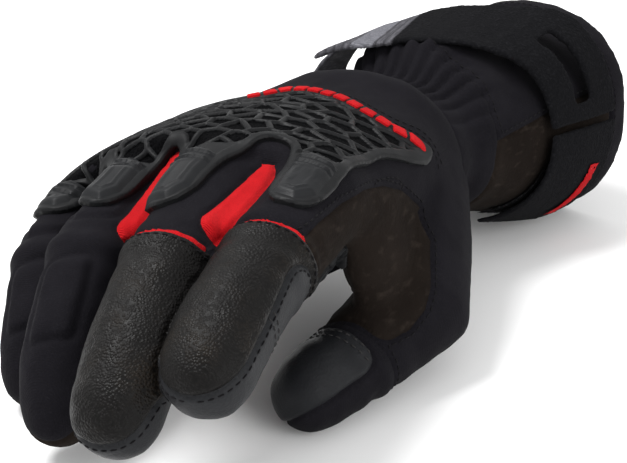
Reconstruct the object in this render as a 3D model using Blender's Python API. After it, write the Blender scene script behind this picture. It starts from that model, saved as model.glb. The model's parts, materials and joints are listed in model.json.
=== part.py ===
"""Insulated snow-sport glove for the right hand, palm down, with a moulded knuckle guard and a wrist strap.

Frame: +Z up, fingers towards -Y, cuff towards +Y, thumb on the +X side. The glove stands on the table plane
z = 0 on its thumb, its little fingertip and the lower side of its cuff hem. Sizes below are in millimetres
and angles in degrees, measured from a point below the middle finger's knuckle; metres() turns them into the
object's own frame, whose origin is the middle of its footprint. Every limb (hand, finger, thumb, cuff) is a row
of cross-sections. An angle round a cross-section is 0 on the thumb side, 90 on the back of the hand, 180 on
the little-finger side and 270 on the palm.
"""

import math
import random

import bmesh
import bpy
from mathutils import Matrix, Vector

MM = 0.001
ORIGIN = Vector((9.4, 51.2, 0.0))  # the middle of the glove's footprint, from the middle finger's knuckle
GAP = 0.35  # clearance between neighbouring pieces
FABRIC = 1.8  # shell fabric or leather
LINER_OUT, LINER_IN = -2.2, -3.4  # insulated finger lining, measured inwards from the shell's outer face
WIDE_OUT, WIDE_IN = -3.0, -4.4  # the thicker lining of the hand, thumb and cuff
FLEX = 9.0  # half length of the soft sleeve over each finger hinge

# Joint centres of the skeleton, from the knuckle row outwards: knuckle, hinge, end joint, tip centre.
FINGERS = {
    "index": ((31, 2, 68), (31, -43, 63), (31, -69, 57), (31, -83, 49)),
    "middle": ((0, 0, 68), (2.5, -49, 59), (5, -76, 45), (6.5, -89, 34)),
    "ring": ((-29, 4, 58), (-28, -41, 52), (-26, -61, 32), (-24.5, -68, 17.5)),
    "little": ((-56, 11, 44), (-51.5, -26, 40), (-48, -40, 24), (-46.5, -45, 11.6)),
}
# Outer radius of each finger at its base, hinge and tip.
FINGER_RADII = {
    "index": (14.2, 13.7, 12.8),
    "middle": (14.2, 13.7, 12.8),
    "ring": (13.8, 13.2, 12.3),
    "little": (13.2, 12.3, 11.4),
}
# Where each finger's sleeve starts, beyond its knuckle, so that it meets the rim of the hand.
SLEEVE_START = {"index": 6.5, "middle": 3.0, "ring": 3.5, "little": 7.3}
FINGER_SIDE = Vector((0.994, 0.0, 0.109))  # direction of the finger hinges, thumb side of the hand a little high

THUMB = ((33, 67, 43), (53, 26, 21), (43, -5, 15), (37, -24, 12.8))  # root, knuckle, hinge, tip centre
THUMB_RADII = (24.0, 18.5, 14.2, 12.5)
THUMB_BACK = Vector((0.6, -0.1, -0.8))  # the thumb's back faces down and outwards, its pad up and inwards

WRIST = Vector((21, 101, 49))
CUFF_DIRECTION = Vector((29, 90, -8)).normalized()
CUFF_LENGTH = 94.0
GATHER = (-9.5, 14.0)  # elasticated stretch of the wrist, along the cuff from WRIST

STRAP_WIDTH = 40.0
ELASTIC_WIDTH = 28.0
STRAP_HINGE_ANGLE = 6.0


def metres(point):
    return (Vector(point) - ORIGIN) * MM


def unit(vector):
    return Vector(vector).normalized()


def material(name, colour, roughness, metallic=0.0):
    made = bpy.data.materials.new(name)
    made.use_nodes = True
    shader = made.node_tree.nodes["Principled BSDF"]
    shader.inputs["Base Color"].default_value = (*colour, 1.0)
    shader.inputs["Roughness"].default_value = roughness
    shader.inputs["Metallic"].default_value = metallic
    return made


class Section:
    """One cross-section: a bent superellipse across `side` and `up`, at right angles to `along`."""

    def __init__(self, centre, along, side, up, width, rise, drop, arch=0.0, power=2.2):
        self.centre = Vector(centre)
        self.along = unit(along)
        self.side = unit(Vector(side) - self.along * Vector(side).dot(self.along))
        self.up = self.along.cross(self.side)
        if self.up.dot(Vector(up)) < 0:
            self.up.negate()
        self.width, self.rise, self.drop, self.arch = width, rise, drop, arch
        self.power = power

    def mixed(self, other, share):
        def between(a, b):
            return a + (b - a) * share

        return Section(
            self.centre.lerp(other.centre, share),
            self.along.lerp(other.along, share),
            self.side.lerp(other.side, share),
            self.up.lerp(other.up, share),
            between(self.width, other.width),
            between(self.rise, other.rise),
            between(self.drop, other.drop),
            between(self.arch, other.arch),
            between(self.power, other.power),
        )


class Limb:
    """A row of sections. Stations count sections; a tipped limb ends in a dome one station past the last."""

    def __init__(self, sections):
        self.sections = sections
        self.last = len(sections) - 1

    def section(self, station):
        first = min(int(station), self.last - 1)
        return self.sections[first].mixed(self.sections[first + 1], station - first)

    def point(self, station, angle, offset=0.0):
        """The point at this angle, `offset` outside the limb's surface."""
        here = self.section(min(station, self.last))
        bend = math.radians(90 * max(station - self.last, 0.0))
        across, height = math.cos(math.radians(angle)), math.sin(math.radians(angle))
        across = math.copysign(abs(across) ** (2 / here.power), across)
        height = math.copysign(abs(height) ** (2 / here.power), height)
        thick = here.rise if height > 0 else here.drop
        p = across * (here.width + offset) * math.cos(bend)
        q = height * (thick + offset) * math.cos(bend)
        q += here.arch * (1 - (p / (here.width + offset)) ** 2)
        forward = (here.width + offset) * math.sin(bend)
        return here.centre + here.side * p + here.up * q + here.along * forward

    def reach(self, first, distance):
        """The station `distance` beyond station `first`."""
        a, b = self.sections[first].centre, self.sections[first + 1].centre
        return first + distance / (b - a).length


def spread(low, high, count):
    return [low + (high - low) * i / (count - 1) for i in range(count)]


def shell(name, outer, inner, faces, finish, parent=None):
    """A closed solid between two matching sets of points. `faces` are laid on both, and walls close its edges."""
    mesh = bmesh.new()
    verts = [[mesh.verts.new(metres(point)) for point in layer] for layer in (outer, inner)]
    edges = {}
    for face in faces:
        for a, b in zip(face, face[1:] + face[:1]):
            edges[(a, b)] = edges.get((a, b), 0) + 1
        mesh.faces.new([verts[0][i] for i in face])
        mesh.faces.new([verts[1][i] for i in reversed(face)])
    for a, b in edges:
        if (b, a) not in edges:
            mesh.faces.new((verts[0][b], verts[0][a], verts[1][a], verts[1][b]))
    for loose in [v for v in mesh.verts if not v.link_faces]:
        mesh.verts.remove(loose)
    return finished(name, mesh, finish, parent)


def finished(name, mesh, finish, parent=None):
    bmesh.ops.recalc_face_normals(mesh, faces=mesh.faces)
    if mesh.calc_volume(signed=True) < 0:
        bmesh.ops.reverse_faces(mesh, faces=mesh.faces)
    data = bpy.data.meshes.new(name)
    mesh.to_mesh(data)
    mesh.free()
    obj = bpy.data.objects.new(name, data)
    bpy.context.collection.objects.link(obj)
    if finish:
        data.materials.append(finish)
    data.shade_smooth()
    data.set_sharp_from_angle(angle=math.radians(40))
    if parent:
        data.transform(Matrix.Translation(-parent.location))
        obj.parent = parent
    return obj


def grid_faces(rows, columns, ring, skip=()):
    """Quads over rows x columns of points, closed round if `ring`, without the cells listed in `skip`."""
    found = []
    for row in range(rows - 1):
        for column in range(columns if ring else columns - 1):
            if (row, column) in skip:
                continue
            beside = (column + 1) % columns
            low, high = row * columns, (row + 1) * columns
            found.append((low + column, low + beside, high + beside, high + column))
    return found


def sleeve(name, limb, stations, angles, outside, inside, finish, parent=None, shape=None):
    """A wall that follows a limb. `angles` is a count for a full ring, or a list for a panel."""
    ring = isinstance(angles, int)
    turn = [360 * (i + 0.5) / angles for i in range(angles)] if ring else angles
    domed = stations[-1] >= limb.last + 1
    rows = stations[:-1] if domed else stations
    layers = []
    for offset in (outside, inside):
        layer = [limb.point(t, a, offset) for t in rows for a in turn]
        if domed:
            layer.append(limb.point(stations[-1], 0, offset))
        layers.append([shape(point) for point in layer] if shape else layer)
    faces = grid_faces(len(rows), len(turn), ring)
    if domed:
        low, pole = (len(rows) - 1) * len(turn), len(rows) * len(turn)
        for column in range(len(turn) if ring else len(turn) - 1):
            faces.append((low + column, low + (column + 1) % len(turn), pole))
    return shell(name, *layers, faces, finish, parent)


def hull(name, limb, stations, count, offset):
    """A solid of the limb's outer shape. It cuts other pieces, unless shown() makes it one."""
    turn = [360 * (i + 0.5) / count for i in range(count)]
    domed = stations[-1] >= limb.last + 1
    rows = stations[:-1] if domed else stations
    mesh = bmesh.new()
    rings = [[mesh.verts.new(metres(limb.point(t, a, offset))) for a in turn] for t in rows]
    for low, high in zip(rings, rings[1:]):
        for i in range(count):
            mesh.faces.new((low[i - 1], low[i], high[i], high[i - 1]))
    mesh.faces.new(rings[0])
    if domed:
        pole = mesh.verts.new(metres(limb.point(stations[-1], 0, offset)))
        for i in range(count):
            mesh.faces.new((rings[-1][i - 1], rings[-1][i], pole))
    else:
        mesh.faces.new(rings[-1])
    return as_cutter(finished(name, mesh, None))


def block(name, centre, along, up, size):
    """A box `size` long (along, across, up), used only to cut other pieces."""
    along, up = unit(along), unit(up)
    across = up.cross(along)
    across.normalize()
    turn = Matrix((along, across, along.cross(across))).transposed().to_4x4()
    mesh = bmesh.new()
    bmesh.ops.create_cube(mesh, size=1.0)
    scale = Matrix.Diagonal((*[side * MM for side in size], 1.0))
    mesh.transform(Matrix.Translation(metres(centre)) @ turn @ scale)
    return as_cutter(finished(name, mesh, None))


def as_cutter(obj):
    obj.hide_render = True
    obj.display_type = "WIRE"
    return obj


def shown(obj, finish):
    """Makes a hull a piece of its own."""
    obj.hide_render = False
    obj.display_type = "TEXTURED"
    obj.data.materials.append(finish)
    return obj


def boolean(obj, cutter):
    modifier = obj.modifiers.new(cutter.name, "BOOLEAN")
    modifier.object = cutter
    modifier.operation = "DIFFERENCE"


def hinge_empty(name, point):
    empty = bpy.data.objects.new(name, None)
    empty.location = metres(point)
    bpy.context.collection.objects.link(empty)
    return empty


def finger_limb(points, radii, start):
    """Sections of a finger at: base, both ends and middle of its hinge sleeve, round the end joint, tip."""
    knuckle, hinge, joint, tip = (Vector(point) for point in points)
    first, second, third = (
        unit(b - a) for a, b in ((knuckle, hinge), (hinge, joint), (joint, tip))
    )
    base_radius, hinge_radius, tip_radius = radii
    middle_radius = (hinge_radius + tip_radius) / 2
    rows = (
        (knuckle + first * start, first, base_radius),
        (hinge - first * FLEX, first, hinge_radius + 0.1),
        (hinge, first + second, hinge_radius),
        (hinge + second * FLEX, second, hinge_radius - 0.1),
        (joint - second * 4, second, middle_radius),
        (joint + third * 4, second + third, middle_radius),
        (tip, third, tip_radius),
    )
    return Limb([Section(c, d, FINGER_SIDE, (0, 0, 1), r, r, r) for c, d, r in rows])


def thumb_limb():
    root, knuckle, hinge, tip = (Vector(point) for point in THUMB)
    first, second, third = (
        unit(b - a) for a, b in ((root, knuckle), (knuckle, hinge), (hinge, tip))
    )
    rows = (
        (root, first, THUMB_RADII[0]),
        (root.lerp(knuckle, 0.6), first, 21.5),
        (knuckle, first + second, THUMB_RADII[1]),
        (hinge - second * (FLEX - 1), second, 15.2),
        (hinge, second + third, THUMB_RADII[2]),
        (hinge + third * (FLEX - 1), third, 13.6),
        (tip, third, THUMB_RADII[3]),
    )
    sections = []
    for centre, along, radius in rows:
        along = unit(along)
        side = THUMB_BACK.cross(along)
        sections.append(Section(centre, along, side, THUMB_BACK, radius, radius, radius))
    return Limb(sections)


def hand_limb():
    """Knuckle row to wrist. The last section is the first of the cuff's."""
    rows = (
        ((-12.5, 2.3, 50), (0.06, 0.98, 0.15), (0.959, -0.099, 0.265), 59.0, 17, 16, 14, 3.0),
        ((-7, 18, 50), (0.10, 0.99, 0.07), (0.968, -0.11, 0.225), 56, 20, 19.5, 11.5, 2.8),
        ((-1, 38, 49.5), (0.12, 0.99, 0), (0.975, -0.12, 0.19), 51, 22, 22, 9, 2.6),
        ((4, 56, 50), (0.13, 0.99, 0), (0.98, -0.14, 0.15), 46.5, 23, 24, 7, 2.5),
        ((8.5, 71, 50.5), (0.15, 0.98, 0), (0.985, -0.17, 0.12), 42.5, 24, 25, 5, 2.4),
        ((14, 84, 51.5), (0.22, 0.97, 0), (0.975, -0.24, 0.08), 39, 23, 24.5, 3, 2.3),
    )
    sections = [
        Section(centre, along, side, (0, 0, 1), width, rise, drop, arch, power)
        for centre, along, side, width, rise, drop, arch, power in rows
    ]
    sections.append(cuff_section(GATHER[0] - GAP, 34.0, 22.0, 23.0))
    return Limb(sections)


def cuff_section(distance, width, rise, drop):
    centre = WRIST + CUFF_DIRECTION * distance
    return Section(centre, CUFF_DIRECTION, (0.952, -0.307, 0), (0, 0, 1), width, rise, drop)


def cuff_limb():
    rows = (
        (GATHER[0], 34.0, 22.0, 23.0),
        (0.0, 33.0, 24.0, 25.0),
        (GATHER[1], 34.0, 27.0, 28.0),
        (35.0, 36.5, 31.0, 33.0),
        (60.0, 39.5, 36.5, 38.5),
        (CUFF_LENGTH, 41.0, 39.5, 41.8),
    )
    return Limb([cuff_section(*row) for row in rows])


def cuff_station(distance):
    """Station of the cuff limb at this distance from WRIST."""
    marks = (GATHER[0], 0.0, GATHER[1], 35.0, 60.0, CUFF_LENGTH)
    for i, (low, high) in enumerate(zip(marks, marks[1:])):
        if distance <= high:
            break
    return i + (distance - low) / (high - low)


def on_table(point):
    """Flattens what would reach below the table."""
    return Vector((point.x, point.y, max(point.z, 0.0)))


def eased(value, low, high):
    share = min(max((value - low) / (high - low), 0.0), 1.0)
    return share * share * (3 - 2 * share)


def strap_middle(angle):
    """Distance along the cuff of the strap's middle line: it slants back towards the thumb side."""
    return 33 + 27 * math.cos(math.radians(angle))


def strap_standoff(angle):
    """Height of the strap over the cuff: sewn down on both sides, and an arch over the wrist between."""
    return 3.4 + 9.7 * eased(angle, 14, 75) - 12.2 * eased(angle, 165, 212)


def strap_point(cuff, angle, across, lift):
    distance = strap_middle(angle) + across
    return cuff.point(cuff_station(distance), angle, strap_standoff(angle) + lift)


def strap_patch(name, cuff, angles, acrosses, low, high, finish, parent=None, skip=()):
    """A band that follows the strap's path, between two heights over its underside."""
    layers = [
        [strap_point(cuff, angle, across, lift) for across in acrosses for angle in angles]
        for lift in (high, low)
    ]
    faces = grid_faces(len(acrosses), len(angles), False, skip)
    return shell(name, *layers, faces, finish, parent)


def clear_scene():
    for obj in list(bpy.data.objects):
        bpy.data.objects.remove(obj, do_unlink=True)


def build_finger(name, limb, finishes, split_sleeve):
    """Sleeve, hinge sleeve, two tip halves and the linings of one finger."""
    length = (limb.sections[1].centre - limb.sections[0].centre).length
    back = [-12 + 204 * i / 7 for i in range(8)]
    palm = [194.5 + 151 * i / 5 for i in range(6)]
    stations = spread(0, limb.reach(0, length - GAP), 3)
    if split_sleeve:
        sleeve(f"{name}_sleeve_back", limb, stations, back, 0, -FABRIC, finishes["softshell"])
        sleeve(f"{name}_sleeve_palm", limb, stations, palm, 0, -FABRIC, finishes["suede"])
    else:
        sleeve(f"{name}_sleeve", limb, stations, 12, 0, -FABRIC, finishes["softshell"])
    sleeve(f"{name}_liner", limb, stations, 10, LINER_OUT, LINER_IN, finishes["fleece"])
    sleeve(f"{name}_knuckle_sleeve", limb, [1, 2, 3], 12, 0, -FABRIC, finishes["flex"])

    hinge = hinge_empty(f"{name}_hinge", limb.sections[2].centre)
    first = limb.reach(3, GAP)
    rows = [first, 4, 5, 6, 6.4, 6.75, 7]
    tip_middle = limb.sections[4].centre.lerp(limb.sections[6].centre, 0.5)
    along = limb.sections[6].centre - limb.sections[3].centre
    up = limb.sections[5].up
    seam = -0.28 * limb.sections[6].rise
    halves = (
        ("cap" if split_sleeve else "tip_back", finishes["cap"], -1),
        ("tip_pad" if split_sleeve else "tip_palm", finishes["pad"], 1),
    )
    for label, finish, sign in halves:
        half = sleeve(f"{name}_{label}", limb, rows, 12, 0, -FABRIC, finish, hinge)
        centre = tip_middle + up * (seam + sign * (40 - GAP / 2))
        boolean(half, block(f"{name}_{label}_cut", centre, along, up, (160, 60, 80)))
    sleeve(f"{name}_tip_liner", limb, rows, 10, LINER_OUT, LINER_IN, finishes["fleece"], hinge)
    return hinge


def build_guard(hand, finishes):
    """Web of moulded ribs with a solid rim, its backing, and the red strip along its wrist edge."""
    columns = 15
    angles = spread(24, 150, columns)

    def guard_station(angle, share):
        across = math.cos(math.radians(angle))
        far = 2.35 - 1.0 * max(across, 0.0) ** 2 - 2.15 * max(-across, 0.0) ** 1.4
        return 0.08 + (max(far, 0.5) - 0.08) * share

    def layer(points, offset):
        return [hand.point(guard_station(a, s), a, offset) for a, s in points]

    plain = [(a, s) for s in spread(0.02, 0.98, 5) for a in spread(25, 149, 13)]
    shell(
        "guard_backing",
        layer(plain, 1.5),
        layer(plain, 0.8),
        grid_faces(5, 13, False),
        finishes["backing"],
    )

    wander = random.Random(7)
    rows = 7
    shares = [0.0, 0.07, 0.27, 0.48, 0.70, 0.93, 1.0]
    nodes = []
    for row, share in enumerate(shares):
        for column, angle in enumerate(angles):
            inner = 1 < row < rows - 2 and 1 < column < columns - 2
            slide = (wander.uniform(-3.0, 3.0), wander.uniform(-0.07, 0.07)) if inner else (0, 0)
            nodes.append((angle + slide[0], share + slide[1]))
    points, faces = list(nodes), []
    for face in grid_faces(rows, columns, False):
        row, column = divmod(face[0], columns)
        if row in (0, rows - 2) or column in (0, columns - 2):
            faces.append(face)
            continue
        corners = [nodes[i] for i in face]
        middle = [sum(corner[k] for corner in corners) / 4 for k in (0, 1)]
        hole = len(points)
        points += [tuple(c[k] + (middle[k] - c[k]) * 0.30 for k in (0, 1)) for c in corners]
        for i in range(4):
            after = (i + 1) % 4
            faces.append((face[i], face[after], hole + after, hole + i))
    shell("knuckle_guard", layer(points, 4.2), layer(points, 2.1), faces, finishes["guard"])

    strip = [(a, s) for s in (0.0, 1.0) for a in spread(30, 112, 12)]

    def strip_layer(offset):
        return [
            hand.point(guard_station(a, 1.0) + 0.05 + 0.13 * s, a, offset) for a, s in strip
        ]

    strip_faces = grid_faces(2, 12, False)
    shell("guard_red_strip", strip_layer(3.0), strip_layer(0.8), strip_faces, finishes["red"])


def build_slider(name, limb, finish):
    """Raised wedge over the first bone of a finger: a bevelled foot and a ridge that is highest near the knuckle."""
    rows = ((0.06, 0.9, 1.6), (0.16, 1.0, 4.6), (0.62, 0.86, 3.4), (0.80, 0.62, 1.5))
    angles = (-34, -20, 0, 20, 34)
    heights = (0.25, 0.9, 1.0, 0.9, 0.25)
    outer, inner = [], []
    for share, width, height in rows:
        for angle, lift in zip(angles, heights):
            turned = 90 + angle * width
            outer.append(limb.point(share, turned, GAP + 0.9 + height * lift))
            inner.append(limb.point(share, turned, GAP))
    shell(f"{name}_slider", outer, inner, grid_faces(4, 5, False), finish)


def build_gusset(name, first, second, hand_cut, finish):
    """Stretch fabric in the valley between two fingers."""
    near, far = (
        [limb.section(share).centre for limb in (first, second)] for share in (0.0, 0.96)
    )
    sections = []
    for centres, lift, width, height in ((near, 0, 9.5, 11), (far, -1, 8, 9)):
        centre = (centres[0] + centres[1]) / 2 + Vector((0, 0, lift))
        along = (far[0] + far[1]) - (near[0] + near[1])
        sections.append(
            Section(centre, along, centres[0] - centres[1], (0, 0, 1), width, height, height - 3)
        )
    web = Limb(sections)
    gusset = shown(hull(f"red_gusset_{name}", web, spread(0, 1, 5), 12, 0), finish)
    for limb, label in ((first, "first"), (second, "second")):
        boolean(gusset, hull(f"red_gusset_{name}_{label}_cut", limb, [0, 0.5, 1, 2], 12, GAP))
    boolean(gusset, hand_cut)


def build_thumb_web(hand_cut, thumb, index, finish):
    """Padded suede web that fills the crotch between the index finger's base and the thumb."""
    rows = (((38, 21, 62), 8.0, 24), ((44, 21, 44), 7.5, 24), ((50, 22, 22), 9.0, 22))
    sections = [
        Section(centre, (0.3, 0.02, -0.95), (0.05, 1, 0.05), (1, 0, 0), length, thick, thick)
        for centre, thick, length in rows
    ]
    web = shown(hull("thumb_web", Limb(sections), [0, 0.5, 1, 1.5, 2], 16, 0), finish)
    boolean(web, hand_cut)
    boolean(web, hull("thumb_web_thumb_cut", thumb, [0, 1, 2, 3, 4, 5, 6], 16, 1.1))
    boolean(web, hull("thumb_web_index_cut", index, [0, 0.5, 1, 2], 12, GAP))


def build():
    clear_scene()
    softshell = material("softshell", (0.018, 0.017, 0.020), 0.75)
    suede = material("suede", (0.024, 0.020, 0.018), 0.9)
    leather = material("goat_leather", (0.013, 0.012, 0.011), 0.5)
    grip = material("grip_leather", (0.030, 0.031, 0.034), 0.55)
    red = material("red_stretch", (0.78, 0.02, 0.03), 0.7)
    rubber = material("guard_rubber", (0.028, 0.029, 0.031), 0.45)
    slider = material("slider_rubber", (0.040, 0.042, 0.045), 0.4)
    backing = material("guard_mesh_backing", (0.006, 0.006, 0.007), 0.9)
    fleece = material("fleece_lining", (0.016, 0.016, 0.018), 0.95)
    elastic = material("grey_elastic", (0.14, 0.14, 0.15), 0.85)
    label = material("woven_label", (0.28, 0.28, 0.31), 0.8)
    webbing = material("strap_fabric", (0.016, 0.016, 0.018), 0.8)
    hook = material("hook_tape", (0.008, 0.008, 0.008), 0.9)

    hand, cuff, thumb = hand_limb(), cuff_limb(), thumb_limb()
    fingers = {
        name: finger_limb(points, FINGER_RADII[name], SLEEVE_START[name])
        for name, points in FINGERS.items()
    }
    hinges = {}
    for name, limb in fingers.items():
        leathered = name in ("index", "middle")
        finishes = {
            "softshell": softshell,
            "suede": suede,
            "fleece": fleece,
            "flex": softshell,
            "cap": leather if leathered else softshell,
            "pad": grip if leathered else suede,
        }
        hinges[name] = build_finger(name, limb, finishes, leathered)
        build_slider(name, limb, slider)
        if leathered:
            arc = [34 + 112 * i / 6 for i in range(7)]
            rows = [limb.reach(3, 0.2), limb.reach(3, 3.2)]
            sleeve(f"{name}_red_trim", limb, rows, arc, 1.6, GAP, red, hinges[name])

    # Back and palm of the hand, with a hole where the thumb goes in.
    rows = [0, 1, 2, 3, 4, 5, 6]
    back = sleeve("back_panel", hand, rows, spread(-4, 186, 17), 0, -FABRIC, softshell)
    palm = sleeve("palm_panel", hand, rows, spread(187, 355, 15), 0, -FABRIC, suede)
    liner = sleeve("hand_liner", hand, rows, 20, WIDE_OUT, WIDE_IN, fleece)
    upper_length = (thumb.sections[3].centre - thumb.sections[2].centre).length
    thumb_rows = [0, 1, 2, thumb.reach(2, upper_length - GAP)]
    thumb_way = hull("thumb_way", thumb, [0.3, 1, 2, 3], 12, WIDE_IN - 1.5)
    for piece in (back, palm, liner):
        boolean(piece, thumb_way)

    hand_cut = hull("hand_cut", hand, rows, 32, GAP)
    outer_turn, inner_turn = spread(-20, 200, 9), spread(202, 338, 6)
    thumb_back = sleeve("thumb_sleeve_back", thumb, thumb_rows, outer_turn, 0, -FABRIC, softshell)
    thumb_palm = sleeve("thumb_sleeve_suede", thumb, thumb_rows, inner_turn, 0, -FABRIC, suede)
    thumb_liner = sleeve("thumb_liner", thumb, thumb_rows, 12, WIDE_OUT, WIDE_IN, fleece)
    for piece in (thumb_back, thumb_palm, thumb_liner):
        boolean(piece, hand_cut)
    build_thumb_web(hand_cut, thumb, fingers["index"], suede)
    sleeve("thumb_knuckle_sleeve", thumb, [3, 4, 5], 12, 0, -FABRIC, softshell)
    hinges["thumb"] = hinge_empty("thumb_hinge", thumb.sections[4].centre)
    tip_rows = [thumb.reach(5, GAP), 5.6, 6, 6.4, 6.75, 7]
    up = thumb.sections[6].up
    along = thumb.sections[6].along
    for name, finish, sign in (("thumb_tip_back", softshell, -1), ("thumb_tip_pad", grip, 1)):
        half = sleeve(name, thumb, tip_rows, 12, 0, -FABRIC, finish, hinges["thumb"])
        centre = thumb.sections[6].centre + up * (sign * (40 - GAP / 2) - 1.5)
        boolean(half, block(f"{name}_cut", centre, along, up, (120, 60, 80)))
    sleeve("thumb_tip_liner", thumb, tip_rows, 10, LINER_OUT, LINER_IN, fleece, hinges["thumb"])

    guard_finishes = {"backing": backing, "guard": rubber, "red": red}
    build_guard(hand, guard_finishes)
    build_gusset("index_middle", fingers["index"], fingers["middle"], hand_cut, red)
    build_gusset("middle_ring", fingers["middle"], fingers["ring"], hand_cut, red)

    # Gathered wrist, cuff and its hem.
    sleeve("wrist_gather", cuff, [0.0, 0.5, 1.0, 1.5, 2.0], 24, 0, -FABRIC, softshell)
    hem_start = CUFF_LENGTH - 10
    cuff_rows = [2 + GAP / 21, 3, 4, cuff_station(hem_start - GAP)]
    sleeve("cuff_shell", cuff, cuff_rows, spread(-24, 222, 20), 0, -FABRIC, softshell)
    sleeve("cuff_suede_patch", cuff, cuff_rows, spread(223, 335, 10), 0, -FABRIC, suede)
    sleeve("cuff_liner", cuff, cuff_rows, 20, WIDE_OUT, WIDE_IN, fleece)
    hem_rows = [cuff_station(hem_start), cuff_station(CUFF_LENGTH)]
    sleeve("cuff_hem", cuff, hem_rows, 24, 1.7, LINER_IN, softshell, shape=on_table)

    # Closing strap: elastic on the little-finger side, band over the wrist, and an end that peels off.
    half = STRAP_WIDTH / 2
    narrow = ELASTIC_WIDTH / 2
    elastic_lines = [-narrow + 7, 7, narrow + 5]
    strap_patch("strap_elastic", cuff, spread(140, 212, 8), elastic_lines, 0, 1.8, elastic)
    strap_patch("strap_label", cuff, spread(142, 149, 2), [-3, 13], 1.8 + GAP, 2.6, label)
    band_angles = spread(STRAP_HINGE_ANGLE + 3, 139.5, 14)
    slot = {(1, column) for column in range(1, 5)}
    band_lines = [-half, -4.5, 4.5, half]
    strap_patch("strap_band", cuff, band_angles, band_lines, 0, 2.2, webbing, skip=slot)
    strap_hinge = hinge_empty("strap_hinge", strap_point(cuff, STRAP_HINGE_ANGLE + 1.5, 0, 1.1))
    end_angles = spread(-62, STRAP_HINGE_ANGLE, 8)
    strap_patch("strap_end", cuff, end_angles, [-half, 0, half], 0.4, 2.2, webbing, strap_hinge)
    hook_lines = [-half + 5, 0, half - 5]
    strap_patch("hook_patch", cuff, end_angles[1:5], hook_lines, -1.0, 0, hook, strap_hinge)
    mark_angles = spread(-48, -12, 5)
    strap_patch("strap_mark", cuff, mark_angles, [6, 12], 2.2 + GAP / 2, 2.9, red, strap_hinge)
    loop_lines = [-half + 2, 0, half - 2]
    strap_patch("loop_patch", cuff, end_angles[0:6], loop_lines, -2.4, -1.4, hook)


build()
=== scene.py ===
"""Looks of the insulated snow-sport glove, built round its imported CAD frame.

One smooth skin is drawn over the frame's shell nodes. It is cut along curves, as a tailor cuts cloth, into
panels of softshell, suede and leather that meet in sewn seams. The rubber guard, sliders, stitches and strap
are laid on the skin. Everything is in metres in the frame's own axes: fingers towards -Y, thumb towards +X,
back of the hand up.
"""

import json
import math
import random

import bmesh
import bpy
import numpy as np
from mathutils import Matrix, Vector, noise
from mathutils.bvhtree import BVHTree
from mathutils.kdtree import KDTree


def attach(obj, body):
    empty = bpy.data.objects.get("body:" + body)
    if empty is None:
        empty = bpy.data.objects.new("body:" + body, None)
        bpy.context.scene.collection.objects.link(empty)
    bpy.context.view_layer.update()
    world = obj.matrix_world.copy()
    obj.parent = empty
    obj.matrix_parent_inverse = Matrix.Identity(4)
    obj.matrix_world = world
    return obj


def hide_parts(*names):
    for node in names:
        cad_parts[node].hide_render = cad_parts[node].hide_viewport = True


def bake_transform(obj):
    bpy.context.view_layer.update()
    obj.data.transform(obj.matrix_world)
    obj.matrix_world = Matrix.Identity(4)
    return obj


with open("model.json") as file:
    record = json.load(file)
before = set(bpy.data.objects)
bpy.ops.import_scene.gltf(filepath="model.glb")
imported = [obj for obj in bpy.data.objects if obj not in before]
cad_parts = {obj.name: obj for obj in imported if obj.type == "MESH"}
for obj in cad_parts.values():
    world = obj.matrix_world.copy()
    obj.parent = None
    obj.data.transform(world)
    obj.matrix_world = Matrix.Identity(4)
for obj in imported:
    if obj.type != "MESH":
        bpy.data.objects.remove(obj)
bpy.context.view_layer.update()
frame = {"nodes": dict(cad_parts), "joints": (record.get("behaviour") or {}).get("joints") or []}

MM = 0.001
VOXEL = 1.15 * MM
CLOSING = 0.75 * MM  # how far the shells are swollen, so that the gaps between them close
SMOOTHING_STEPS = 22
SMOOTHING_LOSS = 0.45 * MM  # what the smoothing takes off a finger
CLOTH = 1.3 * MM  # thickness of a panel
FAR = 0.05
NEAR = 16 * MM  # a node's distance is measured only this close to it

FINGERS = ("index", "middle", "ring", "little")
JOINTS = {joint["name"]: joint for joint in frame["joints"]}
NODES = frame["nodes"]


# ---------------------------------------------------------------- frame readings


def node_surface(name):
    """Points and triangles of a CAD node."""
    data = NODES[name].data
    data.calc_loop_triangles()
    points = np.empty(len(data.vertices) * 3)
    data.vertices.foreach_get("co", points)
    faces = np.empty(len(data.loop_triangles) * 3, np.int32)
    data.loop_triangles.foreach_get("vertices", faces)
    return points.reshape(-1, 3), faces.reshape(-1, 3)


def joined(names):
    points, faces, start = [], [], 0
    for name in names:
        node_points, node_faces = node_surface(name)
        points.append(node_points)
        faces.append(node_faces + start)
        start += len(node_points)
    return np.concatenate(points), np.concatenate(faces)


def unit(vector):
    vector = np.asarray(vector, float)
    return vector / np.linalg.norm(vector)


def bvh(points, faces):
    return BVHTree.FromPolygons([tuple(p) for p in points], [tuple(map(int, f)) for f in faces])


class Digit:
    """A finger or thumb: its hinge, its directions there, and how its middle line bends away from them."""

    def __init__(self, name):
        joint = JOINTS[f"{name}_bend"]
        self.name = name
        self.body = joint["child"]
        self.hinge = np.array(joint["pos_m"])
        self.side = unit(joint["axis"])
        base = node_surface(f"{name}_liner")[0].mean(0) - self.hinge
        tip = node_surface(f"{name}_tip_liner")[0].mean(0) - self.hinge
        along = unit(tip) - unit(base)
        self.along = unit(along - self.side * (along @ self.side))
        self.up = np.cross(self.along, self.side)
        if name == "thumb":
            self.up = -self.up  # the thumb's pad faces up and inwards
        if self.up[2] < 0:
            self.side, self.up = -self.side, -self.up
        drops = [(offset @ self.up) / (offset @ self.along) ** 2 for offset in (base, tip)]
        self.bend = sum(drops) / 2

    def local(self, points):
        """Sideways, towards the tip, and height over the bent middle line, all from the hinge."""
        rest = points - self.hinge
        along = rest @ self.along
        return rest @ self.side, along, rest @ self.up - self.bend * along**2

    def near(self, distance):
        """A point on the digit's line, this far past the hinge."""
        return self.hinge + self.along * distance


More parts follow.
